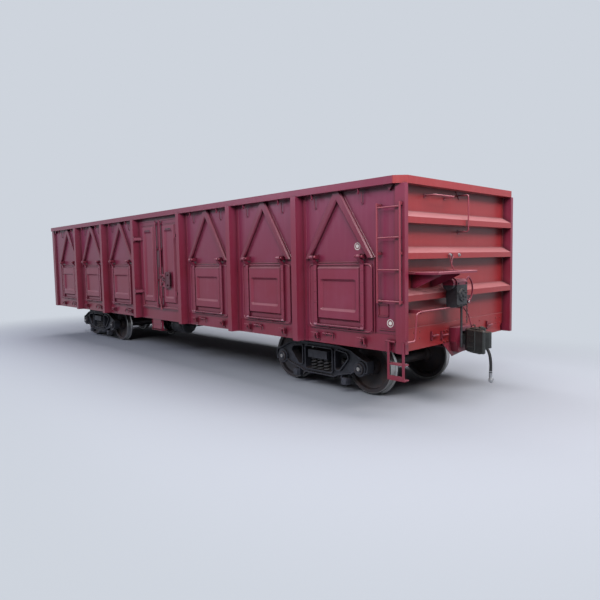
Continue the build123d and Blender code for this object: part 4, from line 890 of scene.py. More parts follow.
# --- air hoses --------------------------------------------------------------------------------
@dataclass
class AirHose:
    """Brake hose that hangs from the angle cock, with its clamps and its coupling head."""

    diameter: float = 0.044
    length: float = 0.461
    side: float = 0.350
    # points of the hanging hose, as distance along the wagon and height above the rail
    route: tuple[Flat, ...] = ((6.510, 0.752), (6.561, 0.694), (6.597, 0.612), (6.613, 0.515),
                               (6.616, 0.415), (6.612, 0.318))
    clamps_at: Flat = (0.012, 0.040)
    clamp_width: float = 0.022
    neck_length: float = 0.070
    neck_radius: float = 0.026
    head_radius: float = 0.042
    head_half: float = 0.029

    def points(self) -> list[Vector]:
        """Route of the front hose, from its exit to the coupling head."""
        return [Vector((x, self.side, RAIL_Z + height)) for x, height in self.route]

    def hose(self, end: str, turn: Matrix) -> bpy.types.Object:
        """Make the hose of one end as a curve.

        Args:
            end: Front or rear.
            turn: Matrix that carries the front end to this one.

        Returns:
            The curve object.
        """
        curve = bpy.data.curves.new(f"brake_hose_{end}", "CURVE")
        curve.dimensions = "3D"
        curve.bevel_depth = self.diameter / 2
        curve.bevel_resolution = 6
        curve.resolution_u = 12
        curve.use_fill_caps = True
        spline = curve.splines.new("NURBS")
        route = [turn @ point for point in self.points()]
        spline.points.add(len(route) - 1)
        for knot, point in zip(spline.points, route):
            knot.co = (*point, 1.0)
        spline.order_u = 3
        spline.use_endpoint_u = True
        curve.materials.append(material_of(HOSE_RUBBER))
        hose = link(f"brake_hose_{end}", curve)
        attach(hose, "wagon_body")
        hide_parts(f"air_hose_{end}")
        return hose

    def clamps(self) -> Shape:
        """Make the band clamps with their screws, two at each end of the hose.

        Returns:
            Their mesh.
        """
        shape = Shape(3)
        route = self.points()
        for start, towards in ((route[0], route[1]), (route[-1], route[-2])):
            along = (towards - start).normalized()
            for offset in self.clamps_at:
                middle = start + along * offset
                shape.rod(middle - along * self.clamp_width / 4, middle + along * self.clamp_width / 4,
                          self.diameter / 2 + 0.003, 20)
                ear = middle + Vector((0, -self.diameter / 2 - 0.006, 0))
                shape.rod(ear - along * 0.006, ear + along * 0.006, 0.005, 8)
        return shape

    def coupling(self) -> Shape:
        """Make the coupling head: a ribbed neck and a flat round head with its locking lug.

        Returns:
            Its mesh.
        """
        shape = Shape(4)
        before, start = self.points()[-2:]
        down = (start - before).normalized()
        neck = start + down * self.neck_length
        shape.rod(start - down * 0.004, start + down * 0.012, self.neck_radius, 20)
        shape.rod(start + down * 0.012, neck - down * 0.016, self.neck_radius * 0.86, 20,
                  self.neck_radius * 0.74)
        head = Vector((neck.x + 0.012, self.side, neck.z - 0.020))
        half, radius = self.head_half, self.head_radius
        shape.turned([(-half, radius * 0.72), (-half * 0.8, radius * 0.96), (half * 0.25, radius * 0.96),
                      (half * 0.4, radius * 0.8), (half, radius * 0.74), (half, radius * 0.45),
                      (half * 0.7, radius * 0.4)], head, Axis.X, 24)
        lug = [(head.y - radius * 0.95, head.z - 0.012), (head.y - radius * 0.5, head.z - radius * 0.95),
               (head.y + 0.004, head.z - radius * 0.98), (head.y - 0.004, head.z + 0.004)]
        shape.prism(lug, Axis.X, head.x - half * 0.2, head.x + half * 0.75, 0.002)
        return shape

    def build(self) -> None:
        for end, turn in zip(("front", "rear"), BOTH_ENDS):
            hose = self.hose(end, turn)
            clamps, coupling = (
                shape.place(f"{name}_{end}", "wagon_body", BRIGHT_FITTING, "fitting_metal", [turn])
                for name, shape in (("hose_clamps", self.clamps()), ("hose_coupling", self.coupling())))
            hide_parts("hose_couplings")


# --- bogies -----------------------------------------------------------------------------------
BOGIES = (("front", BOGIE_X), ("rear", -BOGIE_X))


@dataclass(frozen=True)
class Coil:
    """Coil spring: outside radius, bar radius, number of turns, steps in a turn and sides of the bar."""

    radius: float
    bar: float
    turns: float
    steps: int
    sides: int


@dataclass
class SpringNest:
    """Coil springs of a bogie, each an outer coil with a smaller one inside it."""

    pitch: float = 0.142
    journal_y: float = 0.978
    low: float = RAIL_Z + 0.285
    high: float = RAIL_Z + 0.480
    dead_turns: float = 0.6
    coils: tuple[Coil, ...] = (Coil(0.066, 0.0135, 4.5, 20, 8), Coil(0.035, 0.0085, 7.0, 14, 6))

    def wind(self, shape: Shape, x: float, y: float, coil: Coil) -> None:
        """Wind one coil with closed ends.

        Args:
            shape: Mesh that takes it.
            x: Middle of the coil along the wagon.
            y: Middle of the coil across it.
            coil: Its sizes.
        """
        low, high = self.low + coil.bar, self.high - coil.bar
        reach = coil.radius - coil.bar
        count = round(coil.turns * coil.steps)
        points = []
        for i in range(count + 1):
            turned = i / count * coil.turns
            eased = min(1.0, max(0.0, (turned - self.dead_turns) / (coil.turns - 2 * self.dead_turns)))
            angle = 2 * math.pi * turned
            points.append((x + reach * math.cos(angle), y + reach * math.sin(angle),
                           low + (high - low) * eased))
        shape.tube(points, coil.bar, coil.sides)

    def build(self) -> None:
        """Wind the springs of both bogies."""
        for end, middle in BOGIES:
            shape = Shape(7)
            for side in SIDES:
                for step in (-1, 0, 1):
                    for coil in self.coils:
                        self.wind(shape, middle + step * self.pitch, side * self.journal_y, coil)
            nest = shape.place(f"coil_springs_{end}", f"bogie_{end}", SPRING_STEEL, "bogie_cast")
            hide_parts(f"springs_{end}")


@dataclass
class AxleEnds:
    """Caps on the ends of each axle, with three cap screws and a bright grease plug."""

    screw_circle: float = 0.046
    # profiles: how far out of the axle's end, and the radius
    cap: tuple[Flat, ...] = ((-0.03, 0.074), (0.0, 0.074), (0.006, 0.066), (0.006, 0.040), (0.002, 0.034))
    plug: tuple[Flat, ...] = ((0.0, 0.033), (0.007, 0.030), (0.010, 0.018), (0.006, 0.010))

    def build(self) -> None:
        """Fit the caps to all four axles."""
        for node in (f"wheelset_{end}_{place}" for end in ("front", "rear") for place in ("outer", "inner")):
            low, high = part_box(node)
            x = (low.x + high.x) / 2
            screws, plugs = Shape(11), Shape(12)
            for side in SIDES:
                face = side * (AXLE_END - 0.004)
                cap, plug = ([(side * out, radius) for out, radius in profile]
                             for profile in (self.cap, self.plug))
                screws.turned(cap, (x, face, AXLE_Z), Axis.Y, 28)
                for angle in map(math.radians, (90, 210, 330)):
                    screws.bolt((x + self.screw_circle * math.cos(angle), face + side * 0.004,
                                 AXLE_Z + self.screw_circle * math.sin(angle)), (0, side, 0), 0.026)
                plugs.turned(plug, (x, face, AXLE_Z), Axis.Y, 24)
            screws.place(f"axle_caps_{node}", node, BOGIE_CASTING, "bogie_cast")
            plugs.place(f"axle_plugs_{node}", node, TURNED_STEEL, "wheel_steel")


@dataclass
class BogieFittings:
    """Column bolts, brake beam ends and brake rods of the bogies."""

    column_bolts: tuple[Flat, ...] = ((0.340, 0.600), (0.340, 0.330), (-0.340, 0.600), (-0.340, 0.330))
    pocket: float = 0.038
    tube_x: float = 0.556
    tube_z: float = RAIL_Z + 0.176
    tube_half: float = 0.058
    tube_y: Flat = (0.930, 1.050)
    # section of the rim round the tube's mouth: how far out of it, and the radius
    tube_rim: tuple[Flat, ...] = ((-0.004, 0.046), (0.006, 0.046), (0.006, 0.026), (-0.004, 0.026))
    hanger_x: float = 0.470
    hanger_top: float = RAIL_Z + 0.290
    rod_y: float = 0.110
    rod_z: float = RAIL_Z + 0.265
    rod_reach: float = 0.345

    def frame_fittings(self, shape: Shape, tubes: Shape, middle: float, side: int) -> None:
        """Add the bolts of one side frame and the square tubes that hang under it.

        Args:
            shape: Mesh that takes the bolts and the hangers.
            tubes: Mesh that takes the tubes.
            middle: Middle of the bogie along the wagon.
            side: Sign of the side across the wagon.
        """
        web = side * (FRAME_OUTSIDE - self.pocket)
        for x, height in self.column_bolts:
            shape.bolt((middle + x, web, RAIL_Z + height), (0, side, 0), 0.032)
        near, far = self.tube_y
        z, half = self.tube_z, self.tube_half
        for way in SIDES:
            x = middle + way * self.tube_x
            square = [(x + sx * half, z + sz * half) for sx, sz in ((-1, -1), (1, -1), (1, 1), (-1, 1))]
            tubes.prism(square, Axis.Y, side * near, side * far, 0.012)
            rim = [(side * out, radius) for out, radius in self.tube_rim]
            tubes.turned(rim, (x, side * far, z), Axis.Y, 28, closed=True)
            hanger = middle + way * self.hanger_x
            shape.plate((hanger, side * (near + 0.020), z - half),
                        (hanger + way * 0.030, side * (far - 0.020), self.hanger_top), 0.004)
            shape.plate((hanger, side * (near + 0.030), z - half * 0.6),
                        (x, side * (far - 0.030), z - half * 0.2), 0.003)

    def rods(self, shape: Shape, middle: float) -> None:
        """Add the bottom rod between the two brake beams, with its levers and pins.

        Args:
            shape: Mesh that takes them.
            middle: Middle of the bogie along the wagon.
        """
        y, z = self.rod_y, self.rod_z
        shape.pin((middle, y, z), Axis.X, self.rod_reach, 0.016)
        for way in SIDES:
            x = middle + way * self.rod_reach
            lever = [(x - 0.014, z - 0.030), (x + 0.014, z - 0.030), (x + 0.020, z + 0.140),
                     (x - 0.020, z + 0.140)]
            for near in (y - 0.030, y + 0.018):
                shape.prism(lever, Axis.Y, near, near + 0.012, 0.002)
            shape.pin((x, y, z), Axis.Y, 0.045, 0.011)

    def build(self) -> None:
        """Dress both bogies."""
        for end, middle in BOGIES:
            shape, tubes = Shape(13), Shape(14)
            for side in SIDES:
                self.frame_fittings(shape, tubes, middle, side)
            self.rods(shape, middle)
            shape.place(f"frame_fittings_{end}", f"bogie_{end}", BOGIE_CASTING, "bogie_cast")
            tubes.place(f"brake_beam_tubes_{end}", f"bogie_{end}", BEAM_TUBE, "bogie_cast")


# --- sides ------------------------------------------------------------------------------------
def weld_round(shape: Shape, low: Flat, high: Flat) -> None:
    """Weld round a panel of a right door.

    Args:
        shape: Mesh that takes the welds.
        low: Lower corner of the panel, along the wagon and up.
        high: Its upper corner.
    """
    for x in (low[0], high[0]):
        shape.bead(on_door(x, low[1]), on_door(x, high[1]))
    for z in (low[1], high[1]):
        shape.bead(on_door(low[0], z), on_door(high[0], z))


@dataclass
class LowerDoorFittings:
    """Rolled edge, strap rivets, panel seams and bottom catch of the lower doors."""

    half: float = 0.606
    low: float = FLOOR_TOP - 0.011
    high: float = FLOOR_TOP + 0.929
    corner: float = 0.070
    edge: float = 0.014
    rivet_heights: tuple[float, ...] = (1.165, 1.300, 1.450, 1.610, 1.770, 1.930)
    rivet_side: float = 0.014
    # lip at the foot of a strap: how far out of the strap, and the height above the rail
    lip: tuple[Flat, ...] = ((-0.002, 1.118), (0.010, 1.105), (0.018, 1.110), (0.004, 1.140))
    panel_half: float = 0.421
    panel: Flat = (FLOOR_TOP + 0.116, FLOOR_TOP + 0.900)
    ledge_half: float = 0.425
    ledge_top: float = FLOOR_TOP + 0.038
    ledge_out: float = 0.042
    ridge_half: float = 0.395
    ridge_out: float = 0.034

    def door(self, middle: float) -> Shape:
        """Dress one door.

        Args:
            middle: Middle of the door along the wagon.

        Returns:
            Mesh of its fittings.
        """
        shape = Shape(17)
        rim = rounded((middle - self.half, self.low), (middle + self.half, self.high), self.corner, 5)
        shape.tube([on_door(x, z) for x, z in [*rim, rim[0]]], self.edge)
        for side in SIDES:
            x = middle + side * STRAP_OFFSET
            for height in self.rivet_heights:
                for half in (-self.rivet_side, self.rivet_side):
                    shape.rivet(on_door(x + half, RAIL_Z + height, STRAP_OUT), OUTWARD)
            # the foot of the strap is bent out into a lip that the catch holds
            shape.prism([(-DOOR_OUTSIDE - STRAP_OUT - out, RAIL_Z + height) for out, height in self.lip],
                        Axis.X, x - STRAP_HALF, x + STRAP_HALF, 0.002)
            gusset = middle + side * self.ledge_half * 0.45
            shape.prism([(-DOOR_OUTSIDE, self.ledge_top - 0.020),
                         (-DOOR_OUTSIDE - self.ledge_out, self.ledge_top - 0.020),
                         (-DOOR_OUTSIDE, self.ledge_top - 0.055)], Axis.X, gusset - 0.004, gusset + 0.004)
        low, high = self.panel
        weld_round(shape, (middle - self.panel_half, low), (middle + self.panel_half, high))
        shape.pin(on_door(middle, self.ledge_top - 0.003, self.ledge_out), Axis.X, self.ledge_half, 0.010)
        shape.pin(on_door(middle, self.panel[1] - 0.030, self.ridge_out), Axis.X, self.ridge_half, 0.007, 10)
        return shape

    def build(self) -> None:
        """Dress all twelve lower doors, each on its own body."""
        for bay, middle in BAYS.items():
            shape = self.door(middle)
            for quarter in Quarter:
                name = f"lower_door_{quarter.label}_{bay}"
                shape.place(f"rim_and_rivets_{name}", name, MAROON_DOORS, "body_paint", [quarter.matrix])


@dataclass
class CentreDoorFittings:
    """Lock gear, bands, slot and rivets of the centre doors' leaves."""

    hinge_out: float = 0.014
    hinge_rivets: tuple[float, ...] = (0.635, 0.690, 0.745)
    bar_x: float = 0.092
    bar_out: float = 0.030
    guide_heights: tuple[float, ...] = (1.184, 1.724, 2.384, 2.924)
    guide_out: float = 0.026
    panel: tuple[Flat, Flat] = ((0.205, FLOOR_TOP + 0.138), (0.685, FLOOR_TOP + 1.778))
    panel_rise: float = 0.036
    band_heights: Flat = (RAIL_Z + 2.900, RAIL_Z + 2.972)
    band_x: Flat = (0.150, 0.800)
    slot: tuple[Flat, Flat] = ((0.330, RAIL_Z + 2.756), (0.560, RAIL_Z + 2.784))
    box_out: float = 0.034
    # columns of bosses and bolts of the lock: place along the wagon, height above the rail, radius
    bosses: tuple[Triple, ...] = ((0.085, 1.775, 0.034), (0.180, 1.730, 0.040), (0.135, 1.625, 0.030))
    box_bolts: tuple[Flat, ...] = ((0.150, 1.790), (0.214, 1.672), (0.120, 1.585))
    link: tuple[Flat, ...] = ((0.180, RAIL_Z + 1.745), (0.180, RAIL_Z + 1.715), (0.330, RAIL_Z + 1.690),
                              (0.330, RAIL_Z + 1.712))
    plate: tuple[Flat, Flat] = ((0.310, RAIL_Z + 1.540), (0.490, RAIL_Z + 1.870))
    plate_out: float = 0.058
    plate_corner: float = 0.045
    cover: tuple[Flat, Flat] = ((0.012, RAIL_Z + 1.980), (0.072, RAIL_Z + 2.330))
    lever: tuple[Flat, Flat] = ((0.060, RAIL_Z + 1.345), (0.122, RAIL_Z + 1.105))
    edge_bar: tuple[Flat, ...] = ((0.745, RAIL_Z + 1.400), (0.745, RAIL_Z + 1.165), (0.715, RAIL_Z + 1.125),
                                  (0.150, RAIL_Z + 1.118))

    def leaf(self) -> Shape:
        """Make what every leaf carries: strap rivets, guide bolts, bands, seams and the slot's rim.

        Returns:
            Their mesh.
        """
        shape = Shape(19)
        for height in CENTRE_HINGE_HEIGHTS:
            for x in self.hinge_rivets:
                for half in (-0.014, 0.014):
                    shape.rivet(on_door(x, height + half, self.hinge_out), OUTWARD)
        for height in self.guide_heights:
            for half in (-0.032, 0.032):
                shape.bolt(on_door(self.bar_x + half, height, self.guide_out), OUTWARD, 0.018)
        for z in self.band_heights:
            shape.plate(on_door(self.band_x[0], z - 0.011, 0.012), on_door(self.band_x[1], z + 0.011), 0.003)
        weld_round(shape, *self.panel)
        (x0, z0), (x1, z1) = self.slot
        rim = ((x0, z0), (x1, z0), (x1, z1), (x0, z1), (x0, z0))
        shape.tube([on_door(x, z, self.panel_rise) for x, z in rim], 0.005)
        # a bent lip along the meeting edge keeps the rain out
        shape.rod(on_door(0.009, FLOOR_TOP), on_door(0.009, FLOOR_TOP + 1.900), 0.006, 8)
        return shape

    def lock(self) -> Shape:
        """Make the locking leaf's cam plate, bosses and bar cover.

        Returns:
            Their mesh.
        """
        shape = Shape(24)
        (x0, low), (x1, high) = self.plate
        x, out = (x0 + x1) / 2, -DOOR_OUTSIDE - self.plate_out
        loop = rounded(*self.plate, self.plate_corner, 4)
        shape.prism(loop, Axis.Y, out, out + 0.010, 0.003)
        shape.tube([on_door(*point, self.plate_out) for point in [*loop, loop[0]]], 0.008)
        for z in (low + 0.060, high - 0.060):
            shape.rod(on_door(x, z), on_door(x, z, self.plate_out + 0.012), 0.014)
            shape.bolt(on_door(x, z, self.plate_out + 0.001), OUTWARD, 0.034)
        for x, height, radius in self.bosses:
            profile = [(0.004, radius), (-0.016, radius), (-0.020, radius - 0.006), (-0.020, radius * 0.45),
                       (-0.028, radius * 0.40)]
            shape.turned(profile, on_door(x, RAIL_Z + height, self.box_out), Axis.Y, 24)
        box = -DOOR_OUTSIDE - self.box_out
        shape.prism(self.link, Axis.Y, box - 0.030, box - 0.020, 0.002)
        shape.plate(on_door(*self.cover[0], 0.046), on_door(*self.cover[1]), 0.005)
        return shape

    def hand_lever(self, shape: Shape) -> None:
        """Add the slanting lever that works the bars, on its pivot, with a knob at its end.

        Args:
            shape: Mesh that takes them.
        """
        (ax, az), (bx, bz) = self.lever
        out = self.bar_out + 0.026
        grip = -DOOR_OUTSIDE - out
        outline = [(ax - 0.020, az), (ax + 0.020, az + 0.010), (bx + 0.020, bz + 0.004),
                   (bx - 0.020, bz - 0.004)]
        shape.prism(outline, Axis.Y, grip - 0.012, grip, 0.004)
        shape.rod(on_door(ax, az - 0.006), on_door(ax, az - 0.006, out + 0.018), 0.015)
        shape.rod(on_door(bx, bz + 0.016, out + 0.006), on_door(bx + 0.005, bz - 0.030, out + 0.007), 0.017)
        for x, height in self.box_bolts:
            shape.bolt(on_door(x, RAIL_Z + height, self.box_out), OUTWARD, 0.028)

    def build(self) -> None:
        """Dress the four leaves."""
        # a black plate within the slot's rim paints the shade of the slot's opening
        dark = Shape(20)
        low, high = self.slot
        dark.plate(on_door(*low, self.panel_rise + 0.001), on_door(*high, self.panel_rise - 0.004), 0.0)
        for quarter in Quarter:
            name = f"centre_door_{quarter.label}"
            self.leaf().place(f"fittings_{name}", name, MAROON_DOORS, "body_paint", [quarter.matrix])
            # the edge bar and the hand lever wear the pale maroon of their painted highlight
            bright = Shape(22)
            bright.tube([on_door(x, z, 0.010) for x, z in self.edge_bar], 0.010, 10)
            if quarter.matrix in DIAGONAL_QUARTERS:
                self.lock().place(f"lock_gear_{name}", name, DARK_MAROON, "body_paint", [quarter.matrix])
                self.hand_lever(bright)
            bright.place(f"highlit_bars_{name}", name, HIGHLIT_MAROON, "body_paint", [quarter.matrix])
            dark.place(f"slot_{name}", name, BLACK_GEAR, "body_paint", [quarter.matrix])


@dataclass
class HingePins:
    """Round heads on both ends of the lower doors' hinge pins, in the pale maroon that paints their
    highlights.
    """

    reach: float = 0.057
    # profile of a head: how far out of the knuckle, and the radius
    head: tuple[Flat, ...] = ((-0.004, 0.01425), (-0.001, 0.019), (0.004, 0.019), (0.009, 0.01634),
                              (0.012, 0.0095))

    def build(self) -> None:
        """Head all the pins of all four quarters."""
        shape = Shape(21)
        for middle in BAYS.values():
            for strap in (-STRAP_OFFSET, STRAP_OFFSET):
                for way in SIDES:
                    shape.turned([(way * out, radius) for out, radius in self.head],
                                 (middle + strap + way * self.reach, -LOWER_PIN[0], LOWER_PIN[1]), Axis.X, 20)
        shape.place("hinge_pin_heads", "wagon_body", HIGHLIT_MAROON, "body_paint", ALL_QUARTERS)


@dataclass
class SillFittings:
    """Latch bars on the side sills, the post feet and the step under the centre door."""

    bar_from: float = -0.320
    bar_length: float = 0.200
    bar_height: float = RAIL_Z + 0.985
    bar_drop: float = 0.070
    bar_out: float = 0.030
    latch_out: float = 0.078
    foot_half: float = 0.066
    foot_reach: float = 0.140
    foot_plate: float = 0.006
    step_x: Flat = (-0.500, -0.070)
    step_z: Flat = (RAIL_Z + 0.590, RAIL_Z + 0.730)
    step_y: Flat = (-WALL_FACE + 0.012, -WALL_FACE + 0.140)
    treads: int = 9
    shape: Shape = field(default_factory=lambda: Shape(25))

    def latch_bars(self) -> None:
        """Add one bent bar with its two clips under each lower door."""
        out, z = self.bar_out, self.bar_height
        for middle in BAYS.values():
            x0 = middle + self.bar_from
            x1 = x0 + self.bar_length
            self.shape.tube([on_wall(x0, z), on_wall(x0, z, out), on_wall(x1, z, out),
                             on_wall(x1, z - self.bar_drop, out)], 0.009, 10)
            for x in (x0 + 0.050, x1 - 0.040):
                self.shape.plate(on_wall(x - 0.012, z - 0.018, out + 0.012),
                                 on_wall(x + 0.012, z + 0.018), 0.003)

    def latch_levers(self) -> None:
        """Add the handle and the pin of the two latches of each lower door."""
        out, high, low = self.latch_out, RAIL_Z + 0.992, RAIL_Z + 0.905
        for middle in BAYS.values():
            for way in SIDES:
                x = middle + way * STRAP_OFFSET
                self.shape.tube([on_wall(x - 0.072, high, out), on_wall(x + 0.048, high - 0.008, out),
                                 on_wall(x + 0.060, low, out)], 0.0085, 10)
                self.shape.bolt(on_wall(x, RAIL_Z + 0.950, out - 0.004), OUTWARD, 0.036)

    def post_feet(self) -> None:
        """Close the foot of each hollow post with a plate."""
        back, front = -WALL_FACE - 0.004, -WALL_FACE - self.foot_reach
        bottom, half = SILL_UNDER + 0.004, self.foot_half
        for x in POSTS:
            outline = [(x - half, back), (x + half, back), (x + half - 0.016, front),
                       (x - half + 0.016, front)]
            self.shape.prism(outline, Axis.Z, bottom, bottom + self.foot_plate)

    def step(self) -> None:
        """Hang the pressed step under the sill below the centre door, on both sides."""
        shape = Shape(26)
        (x0, x1), (y0, y1), (low, high) = self.step_x, self.step_y, self.step_z
        top = SILL_UNDER + 0.004
        shape.plate(on_wall(x0 + 0.040, low + 0.030, -0.020), on_wall(x1 - 0.040, top, -0.026), 0.002)
        shape.plate((x0, y0, low), (x1, y1, low + 0.008), 0.002)
        for i in range(self.treads):
            x = x0 + 0.030 + i * (x1 - x0 - 0.060) / (self.treads - 1)
            shape.rod((x, y0 + 0.020, low + 0.008), (x, y1 - 0.020, low + 0.008), 0.004, 6)
        for x in (x0, x1 - 0.008):
            shape.plate((x, y0, low), (x + 0.008, y0 + 0.050, top), 0.002)
        shape.plate((x0, y0, high - 0.012), (x1, y0 + 0.010, high), 0.002)
        shape.place("step_under_centre_door", "wagon_body", MAROON_FRAMING, "body_paint", DIAGONAL_QUARTERS)

    def build(self) -> None:
        """Fit the sills of all four quarters."""
        self.latch_bars()
        self.latch_levers()
        self.post_feet()
        self.shape.place("sill_fittings", "wagon_body", MAROON_FRAMING, "body_paint", ALL_QUARTERS)
        self.step()


@dataclass
class SideSeams:
    """Welds where the posts, the braces and the chord meet the side sheets, and the trims of the bays."""

    post_flange: float = 0.135
    brace_foot: Flat = (0.6585, 0.5515)
    brace_apex: float = 0.0635
    brace_foot_z: float = LOWER_PIN[1] - 0.020
    brace_inner_top: float = 2.930
    lip: float = 0.005
    drip_half: float = 0.410
    drip_z: float = RAIL_Z + 2.036
    drip_out: float = 0.022
    stiffener: Triple = (0.655, 0.016, 0.020)
    hook_offset: float = 0.454
    hook_z: Flat = (RAIL_Z + 2.860, RAIL_Z + 3.000)
    gusset: tuple[Flat, ...] = ((6.080, CHORD_UNDER), (6.200, CHORD_UNDER), (6.140, CHORD_UNDER - 0.075))
    shape: Shape = field(default_factory=lambda: Shape(23))

    def trims(self) -> None:
        """Add the drip strips, stiffeners and hooks of the bays and the corner gusset."""
        z, out = self.drip_z, -WALL_FACE - self.drip_out
        drip = [(-WALL_FACE, z), (out, z), (out, z + 0.004), (-WALL_FACE, z + 0.014)]
        offset, wide, stand = self.stiffener
        low, high = self.hook_z
        hook = ((0.030, high), (0.030, low), (0.014, low - 0.022), (0.0, low - 0.022))
        for middle in BAYS.values():
            self.shape.prism(drip, Axis.X, middle - self.drip_half, middle + self.drip_half)
            x = middle + offset
            self.shape.plate(on_wall(x - wide / 2, FLOOR_TOP - 0.010, stand),
                             on_wall(x + wide / 2, self.brace_foot_z), 0.003)
            for way in SIDES:
                x = middle + way * self.hook_offset
                self.shape.tube([on_wall(x, z, out) for out, z in hook], 0.007)
        self.shape.prism(self.gusset, Axis.Y, -WALL_FACE - 0.040, -WALL_FACE, 0.002)

    def seams(self) -> None:
        """Weld the posts, both edges of each brace, the chord and the sill to the sheets."""
        for x in POSTS:
            for side in SIDES:
                seam = x + side * self.post_flange
                self.shape.bead(on_wall(seam, FLOOR_TOP), on_wall(seam, CHORD_UNDER))
        outer, inner = self.brace_foot
        for middle in BAYS.values():
            for way in SIDES:
                self.shape.bead(on_wall(middle + way * outer, self.brace_foot_z),
                                on_wall(middle + way * self.brace_apex, CHORD_UNDER))
                self.shape.bead(on_wall(middle + way * inner, self.brace_foot_z),
                                on_wall(middle, self.brace_inner_top))
        self.shape.bead(on_wall(0.0, CHORD_UNDER), on_wall(END_FACE, CHORD_UNDER), 0.006)
        sill = FLOOR_TOP - 0.006
        self.shape.bead(on_wall(0.0, sill, 0.001), on_wall(END_FACE, sill, 0.001), 0.004)

    def build(self) -> None:
        """Lay the welds and the trims of all four quarters, and roll both edges of the chord."""
        self.trims()
        self.seams()
        edge = -CHORD_OUTER + self.lip * 0.6
        for z in (CHORD_UNDER + self.lip, TOP_Z - self.lip):
            self.shape.rod((0.0, edge, z), (END_FACE - 0.006, edge, z), self.lip, 8)
        self.shape.place("side_seams", "wagon_body", MAROON_FRAMING, "body_paint", ALL_QUARTERS)


@dataclass
class CardHolders:
    """Blank card frames and a short grab iron under the ladder, with plain stencilled rings."""

    # left, right, low and high edge of the frame, heights above the rail
    frame: tuple[float, float, float, float] = (5.919, 6.095, 1.305, 1.474)
    # left end, right end and height above the rail
    strip: Triple = (5.940, 6.225, 1.130)
    grab: Triple = (6.080, 6.225, 0.990)
    # place along the wagon, height above the rail, outside radius
    rings: tuple[Triple, ...] = ((6.115, 1.223, 0.054), (5.555, 2.262, 0.052))
    ring_width: float = 0.010
    disc: float = 0.027
    bar: float = 0.014

    def holders(self) -> None:
        """Fit the card frame, the strip below it and the grab iron on both sides."""
        shape = Shape(29)
        x0, x1, low, high = self.frame
        bar = self.bar
        for (ax, az), (bx, bz) in (((x0, low), (x1, low + bar)), ((x0, high - bar), (x1, high)),
                                   ((x0, low), (x0 + bar, high)), ((x1 - bar, low), (x1, high))):
            shape.plate(on_wall(ax, RAIL_Z + az, 0.014), on_wall(bx, RAIL_Z + bz))
        shape.plate(on_wall(x0 + bar, RAIL_Z + low + bar, 0.004), on_wall(x1 - bar, RAIL_Z + high - bar), 0.0)
        x0, x1, height = self.strip
        shape.plate(on_wall(x0, RAIL_Z + height - 0.006, 0.020), on_wall(x1, RAIL_Z + height + 0.006), 0.002)
        x0, x1, height = self.grab
        bends = ((x0, 0.0), (x0, 0.055), (x1, 0.055), (x1, 0.0))
        shape.tube([on_wall(x, RAIL_Z + height, out) for x, out in bends], 0.009, 10)
        shape.place("card_holders", "wagon_body", MAROON_FRAMING, "body_paint", DIAGONAL_QUARTERS)

    def build(self) -> None:
        """Fit the holders and the rings on both sides."""
        self.holders()
        marks = Shape(30)
        for x, height, radius in self.rings:
            inner = radius - self.ring_width
            middle = on_wall(x, RAIL_Z + height)
            section = [(0.001, radius), (-0.0015, radius), (-0.0015, inner), (0.001, inner)]
            marks.turned(section, middle, Axis.Y, 40, closed=True)
            marks.turned([(0.001, self.disc), (-0.0015, self.disc), (-0.0015, 0.002)], middle, Axis.Y, 32)
        marks.place("stencilled_rings", "wagon_body", WHITE_MARKING, "body_paint", DIAGONAL_QUARTERS)


